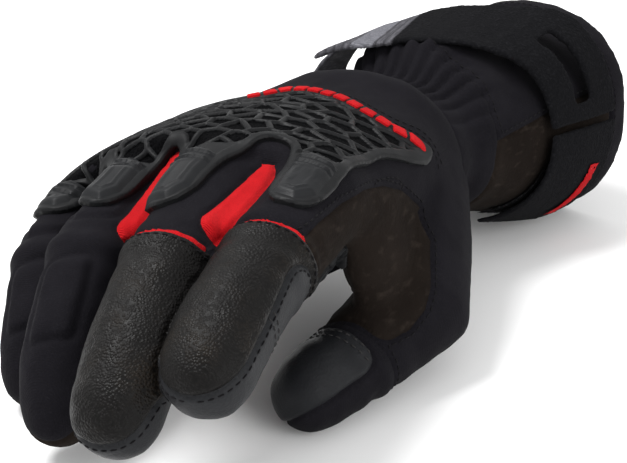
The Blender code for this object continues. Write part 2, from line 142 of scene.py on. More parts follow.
DIGITS = {name: Digit(name) for name in (*FINGERS, "thumb")}
WRIST = np.array(JOINTS["wrist_bend"]["pos_m"])
CUFF_ALONG = unit(node_surface("cuff_hem")[0].mean(0) - WRIST)


# ---------------------------------------------------------------- the skin


def hull_of(points):
    mesh = bmesh.new()
    for point in points:
        mesh.verts.new(point)
    bmesh.ops.convex_hull(mesh, input=mesh.verts)
    bmesh.ops.delete(mesh, geom=[v for v in mesh.verts if not v.link_faces], context="VERTS")
    bmesh.ops.triangulate(mesh, faces=mesh.faces)
    mesh.verts.index_update()
    places = np.array([v.co[:] for v in mesh.verts])
    corners = np.array([[v.index for v in f.verts] for f in mesh.faces])
    mesh.free()
    return places, corners


def knuckle_bridge(digit):
    """Fills the way from the open rim of the hand to the first ring of a finger's sleeve."""
    sleeve, _ = joined([n for n in NODES if n.startswith(f"{digit.name}_sleeve")])
    along = (sleeve - digit.hinge) @ digit.along
    ring = sleeve[along < along.min() + 7 * MM]
    hand, _ = joined(["back_panel", "palm_panel", "hand_liner"])
    near = hand[np.linalg.norm(hand - ring.mean(0), axis=1) < 25 * MM]
    sideways = np.abs((near - ring.mean(0)) @ digit.side)
    return hull_of(np.concatenate([ring, near[sideways < 14 * MM]]))


def rim_plug():
    """Fills the front of the hand, inside its lining, so that the skin closes there."""
    liner, _ = node_surface("hand_liner")
    inwards = unit(liner.mean(0) - joined([f"{name}_liner" for name in FINGERS])[0].mean(0))
    depth = liner @ inwards
    return hull_of(liner[depth < depth.min() + 32 * MM])


def thumb_plug():
    """Fills the thumb's root, where it enters the hand."""
    thumb, _ = joined(["thumb_sleeve_back", "thumb_sleeve_suede", "thumb_liner"])
    reach = np.linalg.norm(thumb - DIGITS["thumb"].hinge, axis=1)
    root = thumb[reach > reach.max() - 14 * MM].mean(0)
    both = np.concatenate([thumb, joined(["palm_panel", "hand_liner"])[0]])
    return hull_of(both[np.linalg.norm(both - root, axis=1) < 27 * MM])


def skin_faces():
    """Every shell and lining, with the hand's rim and the cuff's mouth plugged."""
    shells = [
        name
        for name in NODES
        if not name.startswith(("strap", "hook", "loop", "guard", "knuckle_guard"))
        and not name.endswith(("_slider", "_red_trim"))
    ]
    parts = [joined(shells), hull_of(node_surface("cuff_hem")[0]), rim_plug(), thumb_plug()]
    parts += [knuckle_bridge(DIGITS[name]) for name in FINGERS]
    points, faces, start = [], [], 0
    for part_points, part_faces in parts:
        points.append(part_points)
        faces.append(part_faces + start)
        start += len(part_points)
    return np.concatenate(points), np.concatenate(faces)


def mesh_object(name, points, faces):
    data = bpy.data.meshes.new(name)
    data.from_pydata([tuple(p) for p in points], [], [tuple(map(int, f)) for f in faces])
    obj = bpy.data.objects.new(name, data)
    bpy.context.scene.collection.objects.link(obj)
    return obj


def largest_part(points, faces):
    """The connected surface that reaches furthest."""
    group = np.arange(len(points))
    while True:
        lowest = group[faces].min(axis=1)
        before = group.copy()
        for corner in range(faces.shape[1]):
            np.minimum.at(group, faces[:, corner], lowest)
        group = group[group]
        if (group == before).all():
            break
    names, index = np.unique(group, return_inverse=True)
    reach = [np.ptp(points[index == i], axis=0).sum() for i in range(len(names))]
    kept = faces[index[faces[:, 0]] == int(np.argmax(reach))]
    used, kept = np.unique(kept, return_inverse=True)
    return points[used], kept.reshape(-1, faces.shape[1])


def edges_of(faces):
    ends = np.concatenate([faces[:, [i, (i + 1) % faces.shape[1]]] for i in range(faces.shape[1])])
    return np.unique(np.sort(ends, axis=1), axis=0)


def smoothed(points, faces, steps, share=0.5):
    edges = edges_of(faces)
    count = np.bincount(edges.ravel(), minlength=len(points)).astype(float)
    for _ in range(steps):
        total = np.zeros_like(points)
        np.add.at(total, edges[:, 0], points[edges[:, 1]])
        np.add.at(total, edges[:, 1], points[edges[:, 0]])
        points = points + share * (total / count[:, None] - points)
    return points


def normals_of(points, faces):
    a, b, c = (points[faces[:, i]] for i in range(3))
    flat = np.cross(b - a, c - a)
    total = np.zeros_like(points)
    for corner in range(3):
        np.add.at(total, faces[:, corner], flat)
    return total / np.maximum(np.linalg.norm(total, axis=1), 1e-12)[:, None]


def build_skin():
    points, faces = skin_faces()
    obj = mesh_object("skin_source", points, faces)
    mesh = bmesh.new()
    mesh.from_mesh(obj.data)
    bmesh.ops.remove_doubles(mesh, verts=mesh.verts, dist=0.02 * MM)
    mesh.to_mesh(obj.data)
    mesh.free()
    swell = obj.modifiers.new("swell", "DISPLACE")
    swell.strength, swell.mid_level = CLOSING, 0.0
    remesh = obj.modifiers.new("remesh", "REMESH")
    remesh.mode, remesh.voxel_size = "VOXEL", VOXEL
    graph = bpy.context.evaluated_depsgraph_get()
    data = obj.evaluated_get(graph).to_mesh()
    data.calc_loop_triangles()
    points = np.empty(len(data.vertices) * 3)
    data.vertices.foreach_get("co", points)
    faces = np.empty(len(data.loop_triangles) * 3, np.int32)
    data.loop_triangles.foreach_get("vertices", faces)
    bpy.data.objects.remove(obj)
    points, faces = largest_part(points.reshape(-1, 3), faces.reshape(-1, 3))
    points = smoothed(points, faces, SMOOTHING_STEPS)
    points += normals_of(points, faces) * (SMOOTHING_LOSS - CLOSING)
    return points, faces




# ---------------------------------------------------------------- fields on the skin

CREASE = 1.5 * MM  # a region's score is clipped here, so that groups are parted by distance alone
GROUP_WEIGHT = 25.0
UNDERSIDE = {"index": -2 * MM, "middle": -2 * MM, "ring": -3 * MM, "little": -3 * MM}
CAP_EDGE = {"index": -3 * MM, "middle": -2 * MM}  # where the leather cap starts, past the hinge
TRIM_WIDTH = 1.9 * MM
TRIM_LEVEL = 6 * MM  # the red piping runs over the top of the finger only, above this height
SIDE_OF_HAND = 24 * MM  # past this the suede of the palm rises in an arch

# The arch of suede on the thumb's side, from the index finger round the thumb's root, as (y, z).
SUEDE_ARCH = [
    (-130, 72), (-96, 72), (-82, 73.3), (-65.6, 73.4), (-50.6, 71.6), (-36, 68), (-24, 62), (-14, 53.4),
    (-9, 40), (-6, -60), (-130, -60),
]  # fmt: skip

# The same suede where it runs down the thumb, as (y, z).
THUMB_ARCH = [
    (-130, 72), (-50, 71.6), (-36, 68), (-24, 62), (-14, 53.4), (-20, 44.5), (-32, 36.3), (-40, 29.6),
    (-48, 26), (-54.4, 24.8), (-75, 18), (-130, 6),
]  # fmt: skip
OUTSIDE_OF_THUMB = 36 * MM  # on this side of the thumb the arch is its border

# Red cloth between the fingers, seen from above, as (x, y).
FOURCHETTES = {
    "red_fourchette_index_middle": [
        (4.2, -63.5), (5.4, -61.2), (7.4, -60.8), (9, -63), (9.6, -70), (9, -78), (7.4, -86), (6.4, -94),
        (-1, -94), (0.4, -84), (2.4, -74),
    ],
    "red_fourchette_middle_ring": [
        (-28, -57), (-26.4, -55.4), (-24, -55.6), (-22.9, -58), (-22.7, -66), (-23, -80), (-24.5, -90),
        (-30, -90), (-29.2, -80), (-28.6, -68),
    ],
}  # fmt: skip
FOURCHETTE_DEPTH = 60 * MM  # below this height they follow the CAD


def distance_to(points, names):
    """Distance from each point to these CAD nodes, or FAR."""
    surface, faces = joined(names)
    low, high = surface.min(0) - NEAR, surface.max(0) + NEAR
    tree = bvh(surface, faces)
    found = np.full(len(points), FAR)
    for index in np.flatnonzero(((points > low) & (points < high)).all(1)):
        hit = tree.find_nearest(points[index], FAR)
        if hit[3] is not None:
            found[index] = hit[3]
    return found


def polygon_distance(flat, corners):
    """Signed distance in the plane, negative inside."""
    corners = np.array(corners, float)
    nearest = np.full(len(flat), np.inf)
    inside = np.zeros(len(flat), bool)
    for start, end in zip(corners, np.roll(corners, -1, 0)):
        step = end - start
        share = np.clip(((flat - start) @ step) / (step @ step), 0, 1)
        nearest = np.minimum(nearest, np.linalg.norm(flat - start - share[:, None] * step, axis=1))
        spans = (start[1] > flat[:, 1]) != (end[1] > flat[:, 1])
        height = step[1] if step[1] else 1.0
        inside ^= spans & (flat[:, 0] < start[0] + (flat[:, 1] - start[1]) * step[0] / height)
    return np.where(inside, -nearest, nearest)


def cut_corners(corners, times=2):
    """A closed outline with its corners taken off again and again."""
    corners = np.array(corners, float)
    for _ in range(times):
        after = np.roll(corners, -1, 0)
        corners = np.stack((corners * 0.75 + after * 0.25, corners * 0.25 + after * 0.75), 1).reshape(-1, 2)
    return corners


def meeting(*fields):
    """The region where every field is negative."""
    return np.clip(np.maximum.reduce(fields), -CREASE, CREASE)


def finger_regions(digit, points, arch):
    """Regions of the index or middle finger: grip pad, leather cap, softshell back and suede underside."""
    side, along, up = digit.local(points)
    reach = np.interp(along, [0.0, 0.02, 0.045], [9.3 * MM, 9.0 * MM, 6.5 * MM])
    pad = distance_to(points, [f"{digit.name}_tip_pad"]) - reach
    shell = up - UNDERSIDE[digit.name]
    if digit.name == "index":
        shell = np.where(points[:, 0] > SIDE_OF_HAND, arch, shell)
    past = along - CAP_EDGE[digit.name]
    low = TRIM_LEVEL - up
    return {
        f"{digit.name}_grip_pad": meeting(pad),
        f"{digit.name}_leather_cap": meeting(-pad, -past),
        f"{digit.name}_red_piping": meeting(-pad, past, -TRIM_WIDTH - past, low),
        f"{digit.name}_softshell": meeting(
            -pad, -shell, np.minimum(past + TRIM_WIDTH, np.maximum(past, -low))
        ),
        f"{digit.name}_suede_underside": meeting(-pad, past, shell),
    }


def plain_finger_regions(digit, points):
    """Regions of the ring or little finger: a softshell back and a suede underside turned up at the tip."""
    _, _, up = digit.local(points)
    pad = distance_to(points, [f"{digit.name}_tip_palm"]) - 6.5 * MM
    under = np.minimum(up - UNDERSIDE[digit.name], pad)
    return {f"{digit.name}_suede_underside": meeting(under), f"{digit.name}_softshell": meeting(-under)}


def thumb_regions(points):
    digit = DIGITS["thumb"]
    _, along, _ = digit.local(points)
    reach = np.interp(points[:, 1], [-0.06, -0.048, -0.04, -0.03], [5.2 * MM, 7 * MM, 5.5 * MM, 0.6 * MM])
    inner = distance_to(points, ["thumb_sleeve_suede", "thumb_tip_pad"]) - reach
    arch = polygon_distance(points[:, 1:] / MM, THUMB_ARCH) * MM
    outside = (points[:, 0] > OUTSIDE_OF_THUMB) & (points[:, 1] > -50 * MM)
    inner = np.where(outside, arch, inner)
    return {
        "thumb_grip_pad": meeting(inner, 1 * MM - along),
        "thumb_suede": meeting(inner, along - 1 * MM),
        "thumb_softshell_tip": meeting(-inner, -2 * MM - along),
        "thumb_softshell": meeting(-inner, along + 2 * MM),
    }


def hand_regions(points, arch):
    back = distance_to(points, ["back_panel"])
    palm = distance_to(points, ["palm_panel", "thumb_web"])
    field = (palm - back) / 2
    raised = (points[:, 0] > SIDE_OF_HAND) & (points[:, 2] > 40 * MM)
    field = np.where(raised, arch, field)
    return {"softshell_back": meeting(-field), "suede_palm": meeting(field)}


def cuff_regions(points):
    hem = distance_to(points, ["cuff_hem"])
    shell = distance_to(points, ["cuff_shell", "cuff_suede_patch"])
    x, y, z = points.T
    edge = (33 * MM + np.interp(x, [0.01, 0.045], [0, 20 * MM])) + np.interp(y, [0.05, 0.09], [0, 5 * MM])
    bound = hem - shell
    return {
        "cuff_hem_binding": meeting(bound / 2),
        "cuff_softshell": meeting(-bound / 2, edge - z),
        "cuff_suede": meeting(-bound / 2, z - edge),
    }


def skin_scores(points):
    """Every region's score at every point of the skin: the lowest one has it."""
    arch = polygon_distance(points[:, 1:] / MM, SUEDE_ARCH) * MM
    groups = [
        (hand_regions(points, arch), ["back_panel", "palm_panel", "thumb_web"]),
        (cuff_regions(points), ["cuff_shell", "cuff_suede_patch", "cuff_hem"]),
        (thumb_regions(points), [n for n in NODES if n.startswith("thumb") and n != "thumb_web"]),
        ({"shirred_wrist": -np.full(len(points), CREASE)}, ["wrist_gather"]),
    ]
    for name in FINGERS:
        nodes = [n for n in NODES if n.startswith(name) and not n.endswith(("_slider", "_red_trim"))]
        if name in CAP_EDGE:
            groups.append((finger_regions(DIGITS[name], points, arch), nodes))
        else:
            groups.append((plain_finger_regions(DIGITS[name], points), nodes))
    names, scores = [], []
    for regions, nodes in groups:
        away = distance_to(points, nodes) * GROUP_WEIGHT
        for name, region in regions.items():
            names.append(name)
            scores.append(away + region)
    for name, outline in FOURCHETTES.items():
        names.append(name)
        deep = distance_to(points, [name.replace("fourchette", "gusset")]) * GROUP_WEIGHT - CREASE
        shown = polygon_distance(points[:, :2] / MM, cut_corners(outline)) * MM * GROUP_WEIGHT
        scores.append(np.where(points[:, 2] > FOURCHETTE_DEPTH, shown, deep))
    return names, np.stack(scores, axis=1)


def without_islands(faces, scores, smallest=14):
    """Takes a label away from small patches that lie apart from it."""
    edges = edges_of(faces)
    for _ in range(3):
        label = scores.argmin(axis=1)
        same = edges[label[edges[:, 0]] == label[edges[:, 1]]]
        group = np.arange(len(label))
        while True:
            before = group.copy()
            lowest = np.minimum(group[same[:, 0]], group[same[:, 1]])
            np.minimum.at(group, same[:, 0], lowest)
            np.minimum.at(group, same[:, 1], lowest)
            group = group[group]
            if (group == before).all():
                break
        size = np.bincount(group, minlength=len(group))
        small = size[group] < smallest
        if not small.any():
            break
        scores[np.flatnonzero(small), label[small]] += 1.0
    return scores


# ---------------------------------------------------------------- cutting


def cut(values, faces, scores):
    """Splits the triangles where the lowest score changes. Gives the points' values, the triangles, labels
    and, for each point on a border, the two labels that meet there."""
    label = scores.argmin(axis=1)
    edges = edges_of(faces)
    crossed = edges[label[edges[:, 0]] != label[edges[:, 1]]]
    a, b = crossed.T
    first, second = label[a], label[b]
    before = scores[a, first] - scores[a, second]
    after = scores[b, first] - scores[b, second]
    share = np.clip(before / (before - after - 1e-12), 0.12, 0.88)[:, None]
    middles = values[a] * (1 - share) + values[b] * share
    total = len(values)
    keys = a.astype(np.int64) * total + b

    def middle(p, q):
        wanted = np.minimum(p, q).astype(np.int64) * total + np.maximum(p, q)
        return total + np.searchsorted(keys, wanted)

    corner = label[faces]
    equal = [corner[:, i] == corner[:, (i + 1) % 3] for i in range(3)]
    whole = equal[0] & equal[1]
    three = ~equal[0] & ~equal[1] & ~equal[2]
    new_faces, new_labels = [faces[whole]], [corner[whole, 0]]
    for i in range(3):
        lone = ~whole & ~three & equal[(i + 1) % 3]
        o, p, q = (faces[lone, (i + j) % 3] for j in range(3))
        near, far = middle(o, p), middle(o, q)
        new_faces += [np.stack(t, 1) for t in ((o, near, far), (near, p, q), (near, q, far))]
        lone_label, pair_label = corner[lone, i], corner[lone, (i + 1) % 3]
        new_labels += [lone_label, pair_label, pair_label]
    tri = faces[three]
    centre = total + len(middles) + np.arange(len(tri))
    for i in range(3):
        o, p, q = tri[:, i], tri[:, (i + 1) % 3], tri[:, (i + 2) % 3]
        new_faces += [np.stack((o, middle(o, p), centre), 1), np.stack((o, centre, middle(o, q)), 1)]
        new_labels += [corner[three, i]] * 2
    values = np.concatenate([values, middles, values[tri].mean(axis=1)])
    return values, np.concatenate(new_faces), np.concatenate(new_labels), np.stack((first, second), 1)


def loop_edges(faces):
    """The directed edges on the rim of these faces."""
    ends = np.concatenate([faces[:, [0, 1]], faces[:, [1, 2]], faces[:, [2, 0]]])
    low, high = ends.min(1).astype(np.int64), ends.max(1)
    _, index, count = np.unique(low * (ends.max() + 1) + high, return_index=True, return_counts=True)
    return ends[index[count == 1]]


def solid(name, top, bottom, faces, normals):
    """A closed layer of material between two sheets of the same points, the upper one smoothly shaded."""
    used, faces = np.unique(faces, return_inverse=True)
    faces = faces.reshape(-1, 3)
    top, bottom, normals = top[used], bottom[used], normals[used]
    count = len(used)
    rim = loop_edges(faces)
    walls = np.concatenate([np.stack((rim[:, 1], rim[:, 0], rim[:, 0] + count), 1),
                            np.stack((rim[:, 1], rim[:, 0] + count, rim[:, 1] + count), 1)])
    every = np.concatenate([faces, faces[:, ::-1] + count, walls])
    points = np.concatenate([top, bottom])
    obj = mesh_object(name, points, every)
    a, b, c = (points[walls[:, i]] for i in range(3))
    flat = np.cross(b - a, c - a)
    flat /= np.maximum(np.linalg.norm(flat, axis=1), 1e-15)[:, None]
    under = -normals[faces[:, ::-1].ravel()]
    corners = np.concatenate([normals[faces.ravel()], under, np.repeat(flat, 3, 0)])
    obj.data.shade_smooth()
    obj.data.normals_split_custom_set(corners.tolist())
    return obj


# ---------------------------------------------------------------- relief of the skin

CUFF_SIDE = unit(np.cross((0, 0, 1), CUFF_ALONG))
CUFF_OVER = np.cross(CUFF_ALONG, CUFF_SIDE)


def around_cuff(points):
    """Distance along the cuff from the wrist's hinge, and angle round it from the top, in radians."""
    rest = points - WRIST
    return rest @ CUFF_ALONG, np.arctan2(rest @ CUFF_SIDE, rest @ CUFF_OVER)


def swelling(points, centre, spread, height):
    """A soft mound."""
    far = (points - np.array(centre) * MM) / (np.array(spread) * MM)
    return height * MM * np.exp(-(far**2).sum(1))


def hand_relief(points, normals):
    """Rolled rim at the wrist end of the hand, and the soft unevenness of filled cloth."""
    y = points[:, 1]
    facing = np.clip(normals[:, 2], 0, 1)
    rim = np.exp(-(((points[:, 0] - 6 * MM) / (28 * MM)) ** 4)) * np.exp(-(((y - 25 * MM) / (8 * MM)) ** 2))
    lift = 3.6 * MM * rim * facing
    lift += swelling(points, (38, 2, 66), (14, 12, 14), 1.2)
    return lift


def wrist_relief(points):
    """Ribs of the shirred wrist on the back of the hand, and the lobes of cloth beyond them."""
    along, angle = around_cuff(points)
    back = np.exp(-((angle / 1.1) ** 4))
    shirred = np.exp(-(((along - 4 * MM) / (13 * MM)) ** 4)) * back
    ribs = 2.6 * MM * (np.abs(np.cos(angle * 16)) - 0.6) * shirred
    waist = -1.6 * MM * np.exp(-(((along - 2 * MM) / (5 * MM)) ** 2))
    lobes = 1.3 * MM * np.cos(angle * 8) * np.exp(-(((along - 17 * MM) / (6 * MM)) ** 2)) * back
    crown = swelling(points, (6, 70, 78), (30, 22, 24), 9.5)
    return ribs + waist + lobes + crown * (along > 0) * np.clip(along / (12 * MM), 0, 1)


# Raised panels moulded into the cloth on the backs of the two smaller fingers: along the finger, in mm.
RAISED_PANELS = {"ring": [(-34, -10), (6, 31)], "little": [(-22, -6), (5, 26)]}


def moulded_panels(points):
    lift = np.zeros(len(points))
    for name, spans in RAISED_PANELS.items():
        side, along, up = DIGITS[name].local(points)
        for start, end in spans:
            middle, half = (start + end) / 2 * MM, (end - start) / 2 * MM
            past_side = np.abs(side) - 4.5 * MM
            past_end = np.abs(along - middle + 0.25 * side) - (half - 3 * MM)
            outside = np.hypot(np.maximum(past_side, 0), np.maximum(past_end, 0))
            outside = outside + np.minimum(np.maximum(past_side, past_end), 0)
            inside = np.clip((2.5 * MM - outside) / (1.6 * MM), 0, 1)
            groove = np.exp(-(((outside - 3.2 * MM) / (1 * MM)) ** 2))
            lift += np.where((up > 0) & (np.abs(side) < 15 * MM), 0.9 * MM * inside - 0.5 * MM * groove, 0)
    return lift


def folds(points):
    """Creases near the hinges and slow unevenness everywhere."""
    lift = np.zeros(len(points))
    for digit in DIGITS.values():
        side, along, up = digit.local(points)
        near = (np.abs(side) < 16 * MM) & (np.abs(along) < 24 * MM) & (np.abs(up) < 24 * MM)
        wave = np.cos((along + 0.18 * side) / (5.2 * MM) * math.pi)
        lift += np.where(near, 0.45 * MM * wave * np.exp(-((along / (11 * MM)) ** 2)), 0)
    for index, point in enumerate(points):
        place = Vector(point)
        lift[index] += 0.5 * MM * noise.noise(place * 75) + 0.22 * MM * noise.noise(place * 210)
    return lift


# ---------------------------------------------------------------- materials


class Finish:
    """A procedural material built up from layers of colour and bump in the object's own coordinates."""

    def __init__(self, name, colour, roughness, shine=0.25, ior=1.3):
        self.made = bpy.data.materials.new(name)
        self.made.use_nodes = True
        self.tree = self.made.node_tree
        self.shader = self.tree.nodes["Principled BSDF"]
        self.place = self.tree.nodes.new("ShaderNodeTexCoord").outputs["Object"]
        self.colour = self.tree.nodes.new("ShaderNodeRGB").outputs[0]
        self.colour.default_value = (*colour, 1)
        self.normal = None
        self.shader.inputs["Roughness"].default_value = roughness
        self.shader.inputs["Sheen Weight"].default_value = 0.01
        self.shader.inputs["Sheen Roughness"].default_value = 0.45
        self.shader.inputs["IOR"].default_value = ior
        self.shader.inputs["Specular IOR Level"].default_value = shine

    def node(self, kind, **inputs):
        made = self.tree.nodes.new(kind)
        for name, value in inputs.items():
            made.inputs[name.replace("_", " ")].default_value = value
        return made

    def link(self, start, end):
        self.tree.links.new(start, end)

    def noise(self, scale, detail=3.0, stretch=(1, 1, 1)):
        turn = self.node("ShaderNodeMapping", Scale=stretch)
        found = self.node("ShaderNodeTexNoise", Scale=scale, Detail=detail)
        self.link(self.place, turn.inputs["Vector"])
        self.link(turn.outputs[0], found.inputs["Vector"])
        return found.outputs["Fac"]

    def cells(self, scale, feature="F1"):
        found = self.node("ShaderNodeTexVoronoi", Scale=scale)
        found.feature = feature
        self.link(self.place, found.inputs["Vector"])
        return found.outputs["Distance"]

    def waves(self, scale, direction="DIAGONAL", distortion=0.0):
        found = self.node("ShaderNodeTexWave", Scale=scale, Distortion=distortion)
        found.bands_direction = direction
        self.link(self.place, found.inputs["Vector"])
        return found.outputs["Fac"]

    def ramp(self, value, low, high, start=0.0, end=1.0):
        found = self.tree.nodes.new("ShaderNodeMapRange")
        found.inputs["From Min"].default_value = low
        found.inputs["From Max"].default_value = high
        found.inputs["To Min"].default_value = start
        found.inputs["To Max"].default_value = end
        self.link(value, found.inputs["Value"])
        return found.outputs["Result"]

    def tint(self, share, colour):
        mixed = self.tree.nodes.new("ShaderNodeMix")
        mixed.data_type = "RGBA"
        self.link(share, mixed.inputs["Factor"])
        self.link(self.colour, mixed.inputs["A"])
        mixed.inputs["B"].default_value = (*colour, 1)
        self.colour = mixed.outputs["Result"]
        return self

    def bump(self, height, depth, strength=1.0):
        found = self.node("ShaderNodeBump", Strength=strength, Distance=depth)
        self.link(height, found.inputs["Height"])
        if self.normal is not None:
            self.link(self.normal, found.inputs["Normal"])
        self.normal = found.outputs["Normal"]
        return self

    def roughness(self, value):
        self.link(value, self.shader.inputs["Roughness"])
        return self

    def done(self):
        self.link(self.colour, self.shader.inputs["Base Color"])
        if self.normal is not None:
            self.link(self.normal, self.shader.inputs["Normal"])
        return self.made


def softshell():
    made = Finish("softshell", (0.0050, 0.0046, 0.0060), 0.75, shine=0.06)
    made.tint(made.ramp(made.noise(60, 4), 0.35, 0.75), (0.0075, 0.0070, 0.0088))
    made.tint(made.ramp(made.noise(2600, 1), 0.5, 0.8, 0, 0.6), (0.014, 0.013, 0.016))
    made.bump(made.waves(900, "X"), 0.00006, 0.6).bump(made.waves(900, "Y"), 0.00006, 0.6)
    return made.bump(made.noise(1500, 2), 0.00012).done()


def suede():
    made = Finish("suede", (0.0075, 0.0056, 0.0046), 0.9, shine=0.05)
    made.tint(made.ramp(made.noise(45, 4), 0.35, 0.75), (0.013, 0.0100, 0.0083))
    made.tint(made.ramp(made.noise(420, 3, (1, 0.4, 1)), 0.55, 0.8, 0, 0.8), (0.022, 0.017, 0.014))
    return made.bump(made.noise(900, 4), 0.00025).bump(made.noise(140, 3), 0.0004, 0.6).done()


def goat_leather():
    made = Finish("goat_leather", (0.0026, 0.0021, 0.0019), 0.42, shine=0.22, ior=1.33)
    pebble_grain_and_painted_shade = made.cells(1250)
    made.tint(made.ramp(made.noise(70, 3), 0.5, 0.72, 0, 0.75), (0.0085, 0.0058, 0.0034))
    # Painted shade: darker in the hollows between the pebbles, so that their crests stand out lighter as if
    # lit.
    made.tint(made.ramp(pebble_grain_and_painted_shade, 0.35, 0.75, 0, 0.8), (0.0014, 0.0012, 0.0011))
    made.roughness(made.ramp(made.noise(300, 3), 0.3, 0.7, 0.38, 0.62))
    made.bump(made.ramp(pebble_grain_and_painted_shade, 0.1, 0.7, 1, 0), 0.00016)
    return made.bump(made.noise(160, 3), 0.00022, 0.5).done()


def grip_leather():
    made = Finish("grip_leather", (0.0085, 0.009, 0.0104), 0.5, shine=0.25, ior=1.3)
    made.tint(made.ramp(made.noise(50, 4), 0.4, 0.75), (0.0135, 0.0142, 0.0158))
    made.tint(made.ramp(made.cells(1500), 0.4, 0.8, 0, 0.6), (0.008, 0.008, 0.009))
    return made.bump(made.noise(1400, 3), 0.00016).bump(made.noise(170, 4), 0.0004, 0.5).done()


def red_stretch():
    made = Finish("red_stretch", (0.38, 0.006, 0.009), 0.75, shine=0.1)
    made.tint(made.ramp(made.noise(90, 3), 0.4, 0.75), (0.48, 0.011, 0.014))
    made.tint(made.ramp(made.noise(2200, 1), 0.5, 0.8, 0, 0.5), (0.22, 0.003, 0.005))
    return made.bump(made.waves(1100, "Y"), 0.00012).bump(made.noise(1800, 2), 0.0001).done()


def rubber(name, colour, worn):
    made = Finish(name, colour, 0.42, shine=0.25, ior=1.32)
    made.tint(made.ramp(made.noise(40, 4), 0.4, 0.75, 0, 0.8), worn)
    made.tint(made.ramp(made.noise(2400, 2), 0.62, 0.75, 0, 0.35), tuple(2 * c for c in worn))
    made.roughness(made.ramp(made.noise(120, 4), 0.3, 0.7, 0.40, 0.58))
    return made.bump(made.noise(2600, 2), 0.00005).bump(made.noise(220, 3), 0.00012, 0.5).done()


def backing():
    # The black mesh under the rubber web, made darker than any other black as painted shade, so the web's
    # openings read as deep shadow.
    made = Finish("guard_mesh_backing", (0.0012, 0.0012, 0.0014), 0.9, shine=0.03)
    made.tint(made.ramp(made.cells(1300), 0.3, 0.6, 0, 0.8), (0.003, 0.003, 0.0034))
    return made.bump(made.cells(1300), 0.0003).done()


def fleece():
    made = Finish("fleece_lining", (0.010, 0.010, 0.0115), 0.95, shine=0.1)
    made.tint(made.ramp(made.noise(500, 3), 0.45, 0.75), (0.035, 0.035, 0.039))
    return made.bump(made.noise(700, 5), 0.0009).done()


def ribbed(name, colour, thread, pitch, direction):
    """A woven tape with ribs across it, a heather of lighter threads and painted shade in the grooves
    between ribs.
    """
    made = Finish(name, colour, 0.8, shine=0.1)
    ribs = made.waves(1 / (20 * pitch) * 6.3, direction)
    made.tint(made.ramp(made.noise(1500, 2, (1, 0.15, 1)), 0.45, 0.7, 0, 0.8), thread)
    # Painted shade: darker where the rib wave is low, in the grooves between the ribs.
    made.tint(made.ramp(ribs, 0.3, 0.0, 0, 0.6), tuple(0.4 * c for c in colour))
    return made.bump(ribs, 0.0003).bump(made.noise(2500, 2), 0.00012).done()


def strap_fabric():
    made = Finish("strap_fabric", (0.0045, 0.0045, 0.0052), 0.92, shine=0.05)
    made.tint(made.ramp(made.noise(1100, 4), 0.5, 0.75), (0.0095, 0.0095, 0.0108))
    return made.bump(made.noise(1300, 5), 0.0005).bump(made.noise(260, 3), 0.0004, 0.4).done()


def hook_tape():
    made = Finish("hook_tape", (0.0045, 0.0045, 0.005), 0.7, shine=0.1)
    made.tint(made.ramp(made.cells(900), 0.5, 0.2, 0, 0.8), (0.022, 0.022, 0.024))
    return made.bump(made.cells(900), 0.0006).done()


def thread_of(name, colour):
    made = Finish(name, colour, 0.6, shine=0.1)
    made.tint(made.ramp(made.waves(1700, "DIAGONAL"), 0.5, 1, 0, 0.5), tuple(0.5 * c for c in colour))
    return made.bump(made.waves(1700, "DIAGONAL"), 0.0001).done()


MATERIALS = {
    "softshell": softshell(),
    "suede": suede(),
    "goat_leather": goat_leather(),
    "grip_leather": grip_leather(),
    "red_stretch": red_stretch(),
    "guard_rubber": rubber("guard_rubber", (0.0040, 0.0042, 0.0047), (0.0070, 0.0073, 0.0080)),
    "slider_rubber": rubber("slider_rubber", (0.0062, 0.0066, 0.0074), (0.0100, 0.0105, 0.0116)),
    "guard_mesh_backing": backing(),
    "fleece_lining": fleece(),
    "grey_elastic": ribbed("grey_elastic", (0.045, 0.044, 0.050), (0.095, 0.094, 0.104), 0.0030, "X"),
    "woven_label": ribbed("woven_label", (0.12, 0.12, 0.135), (0.17, 0.17, 0.188), 0.0012, "Y"),
    "strap_fabric": strap_fabric(),
    "hook_tape": hook_tape(),
}
DARK_THREAD = thread_of("dark_thread", (0.0085, 0.008, 0.009))
GREY_THREAD = thread_of("grey_thread", (0.035, 0.034, 0.034))


def finished(obj, slot, material=None):
    obj.data.materials.append(material or MATERIALS[slot])
    return obj


def seated(obj, body):
    """The piece rides a body; a piece on a body listed in BENDS gets its placing baked in and stays
    unattached.
    """
    if body in BENDS:
        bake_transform(obj)
    else:
        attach(obj, body)
    return obj


# How a piece that crosses a joint bends: the two bodies, and the points where it starts and ends.
BENDS = {
    name: ("hand", digit.body, digit.near(-13 * MM), digit.near(13 * MM)) for name, digit in DIGITS.items()
}


# ---------------------------------------------------------------- panels

DIP = 0.75 * MM  # how deep a seam sinks
DIP_WIDTH = 0.8 * MM

# Panel: material slot, body, how far it stands proud in mm, and the CAD nodes it stands for.
PANELS = {
    "softshell_back": ("softshell", "hand", 0.0, ["back_panel"]),
    "suede_palm": ("suede", "hand", 0.0, ["palm_panel", "thumb_web"]),
    "shirred_wrist": ("softshell", "wrist", 0.0, ["wrist_gather"]),
    "cuff_softshell": ("softshell", "cuff", 0.0, ["cuff_shell"]),
    "cuff_suede": ("suede", "cuff", 0.1, ["cuff_suede_patch"]),
    "cuff_hem_binding": ("softshell", "cuff", 0.5, ["cuff_hem"]),
    "red_fourchette_index_middle": ("red_stretch", "hand", 0.9, ["red_gusset_index_middle"]),
    "red_fourchette_middle_ring": ("red_stretch", "hand", 0.9, ["red_gusset_middle_ring"]),
    "thumb_softshell": ("softshell", "thumb", 0.0, ["thumb_sleeve_back"]),
    "thumb_suede": ("suede", "thumb", 0.15, ["thumb_sleeve_suede", "thumb_knuckle_sleeve"]),
    "thumb_softshell_tip": ("softshell", "thumb", 0.0, ["thumb_tip_back"]),
    "thumb_grip_pad": ("grip_leather", "thumb", 0.35, ["thumb_tip_pad"]),
}


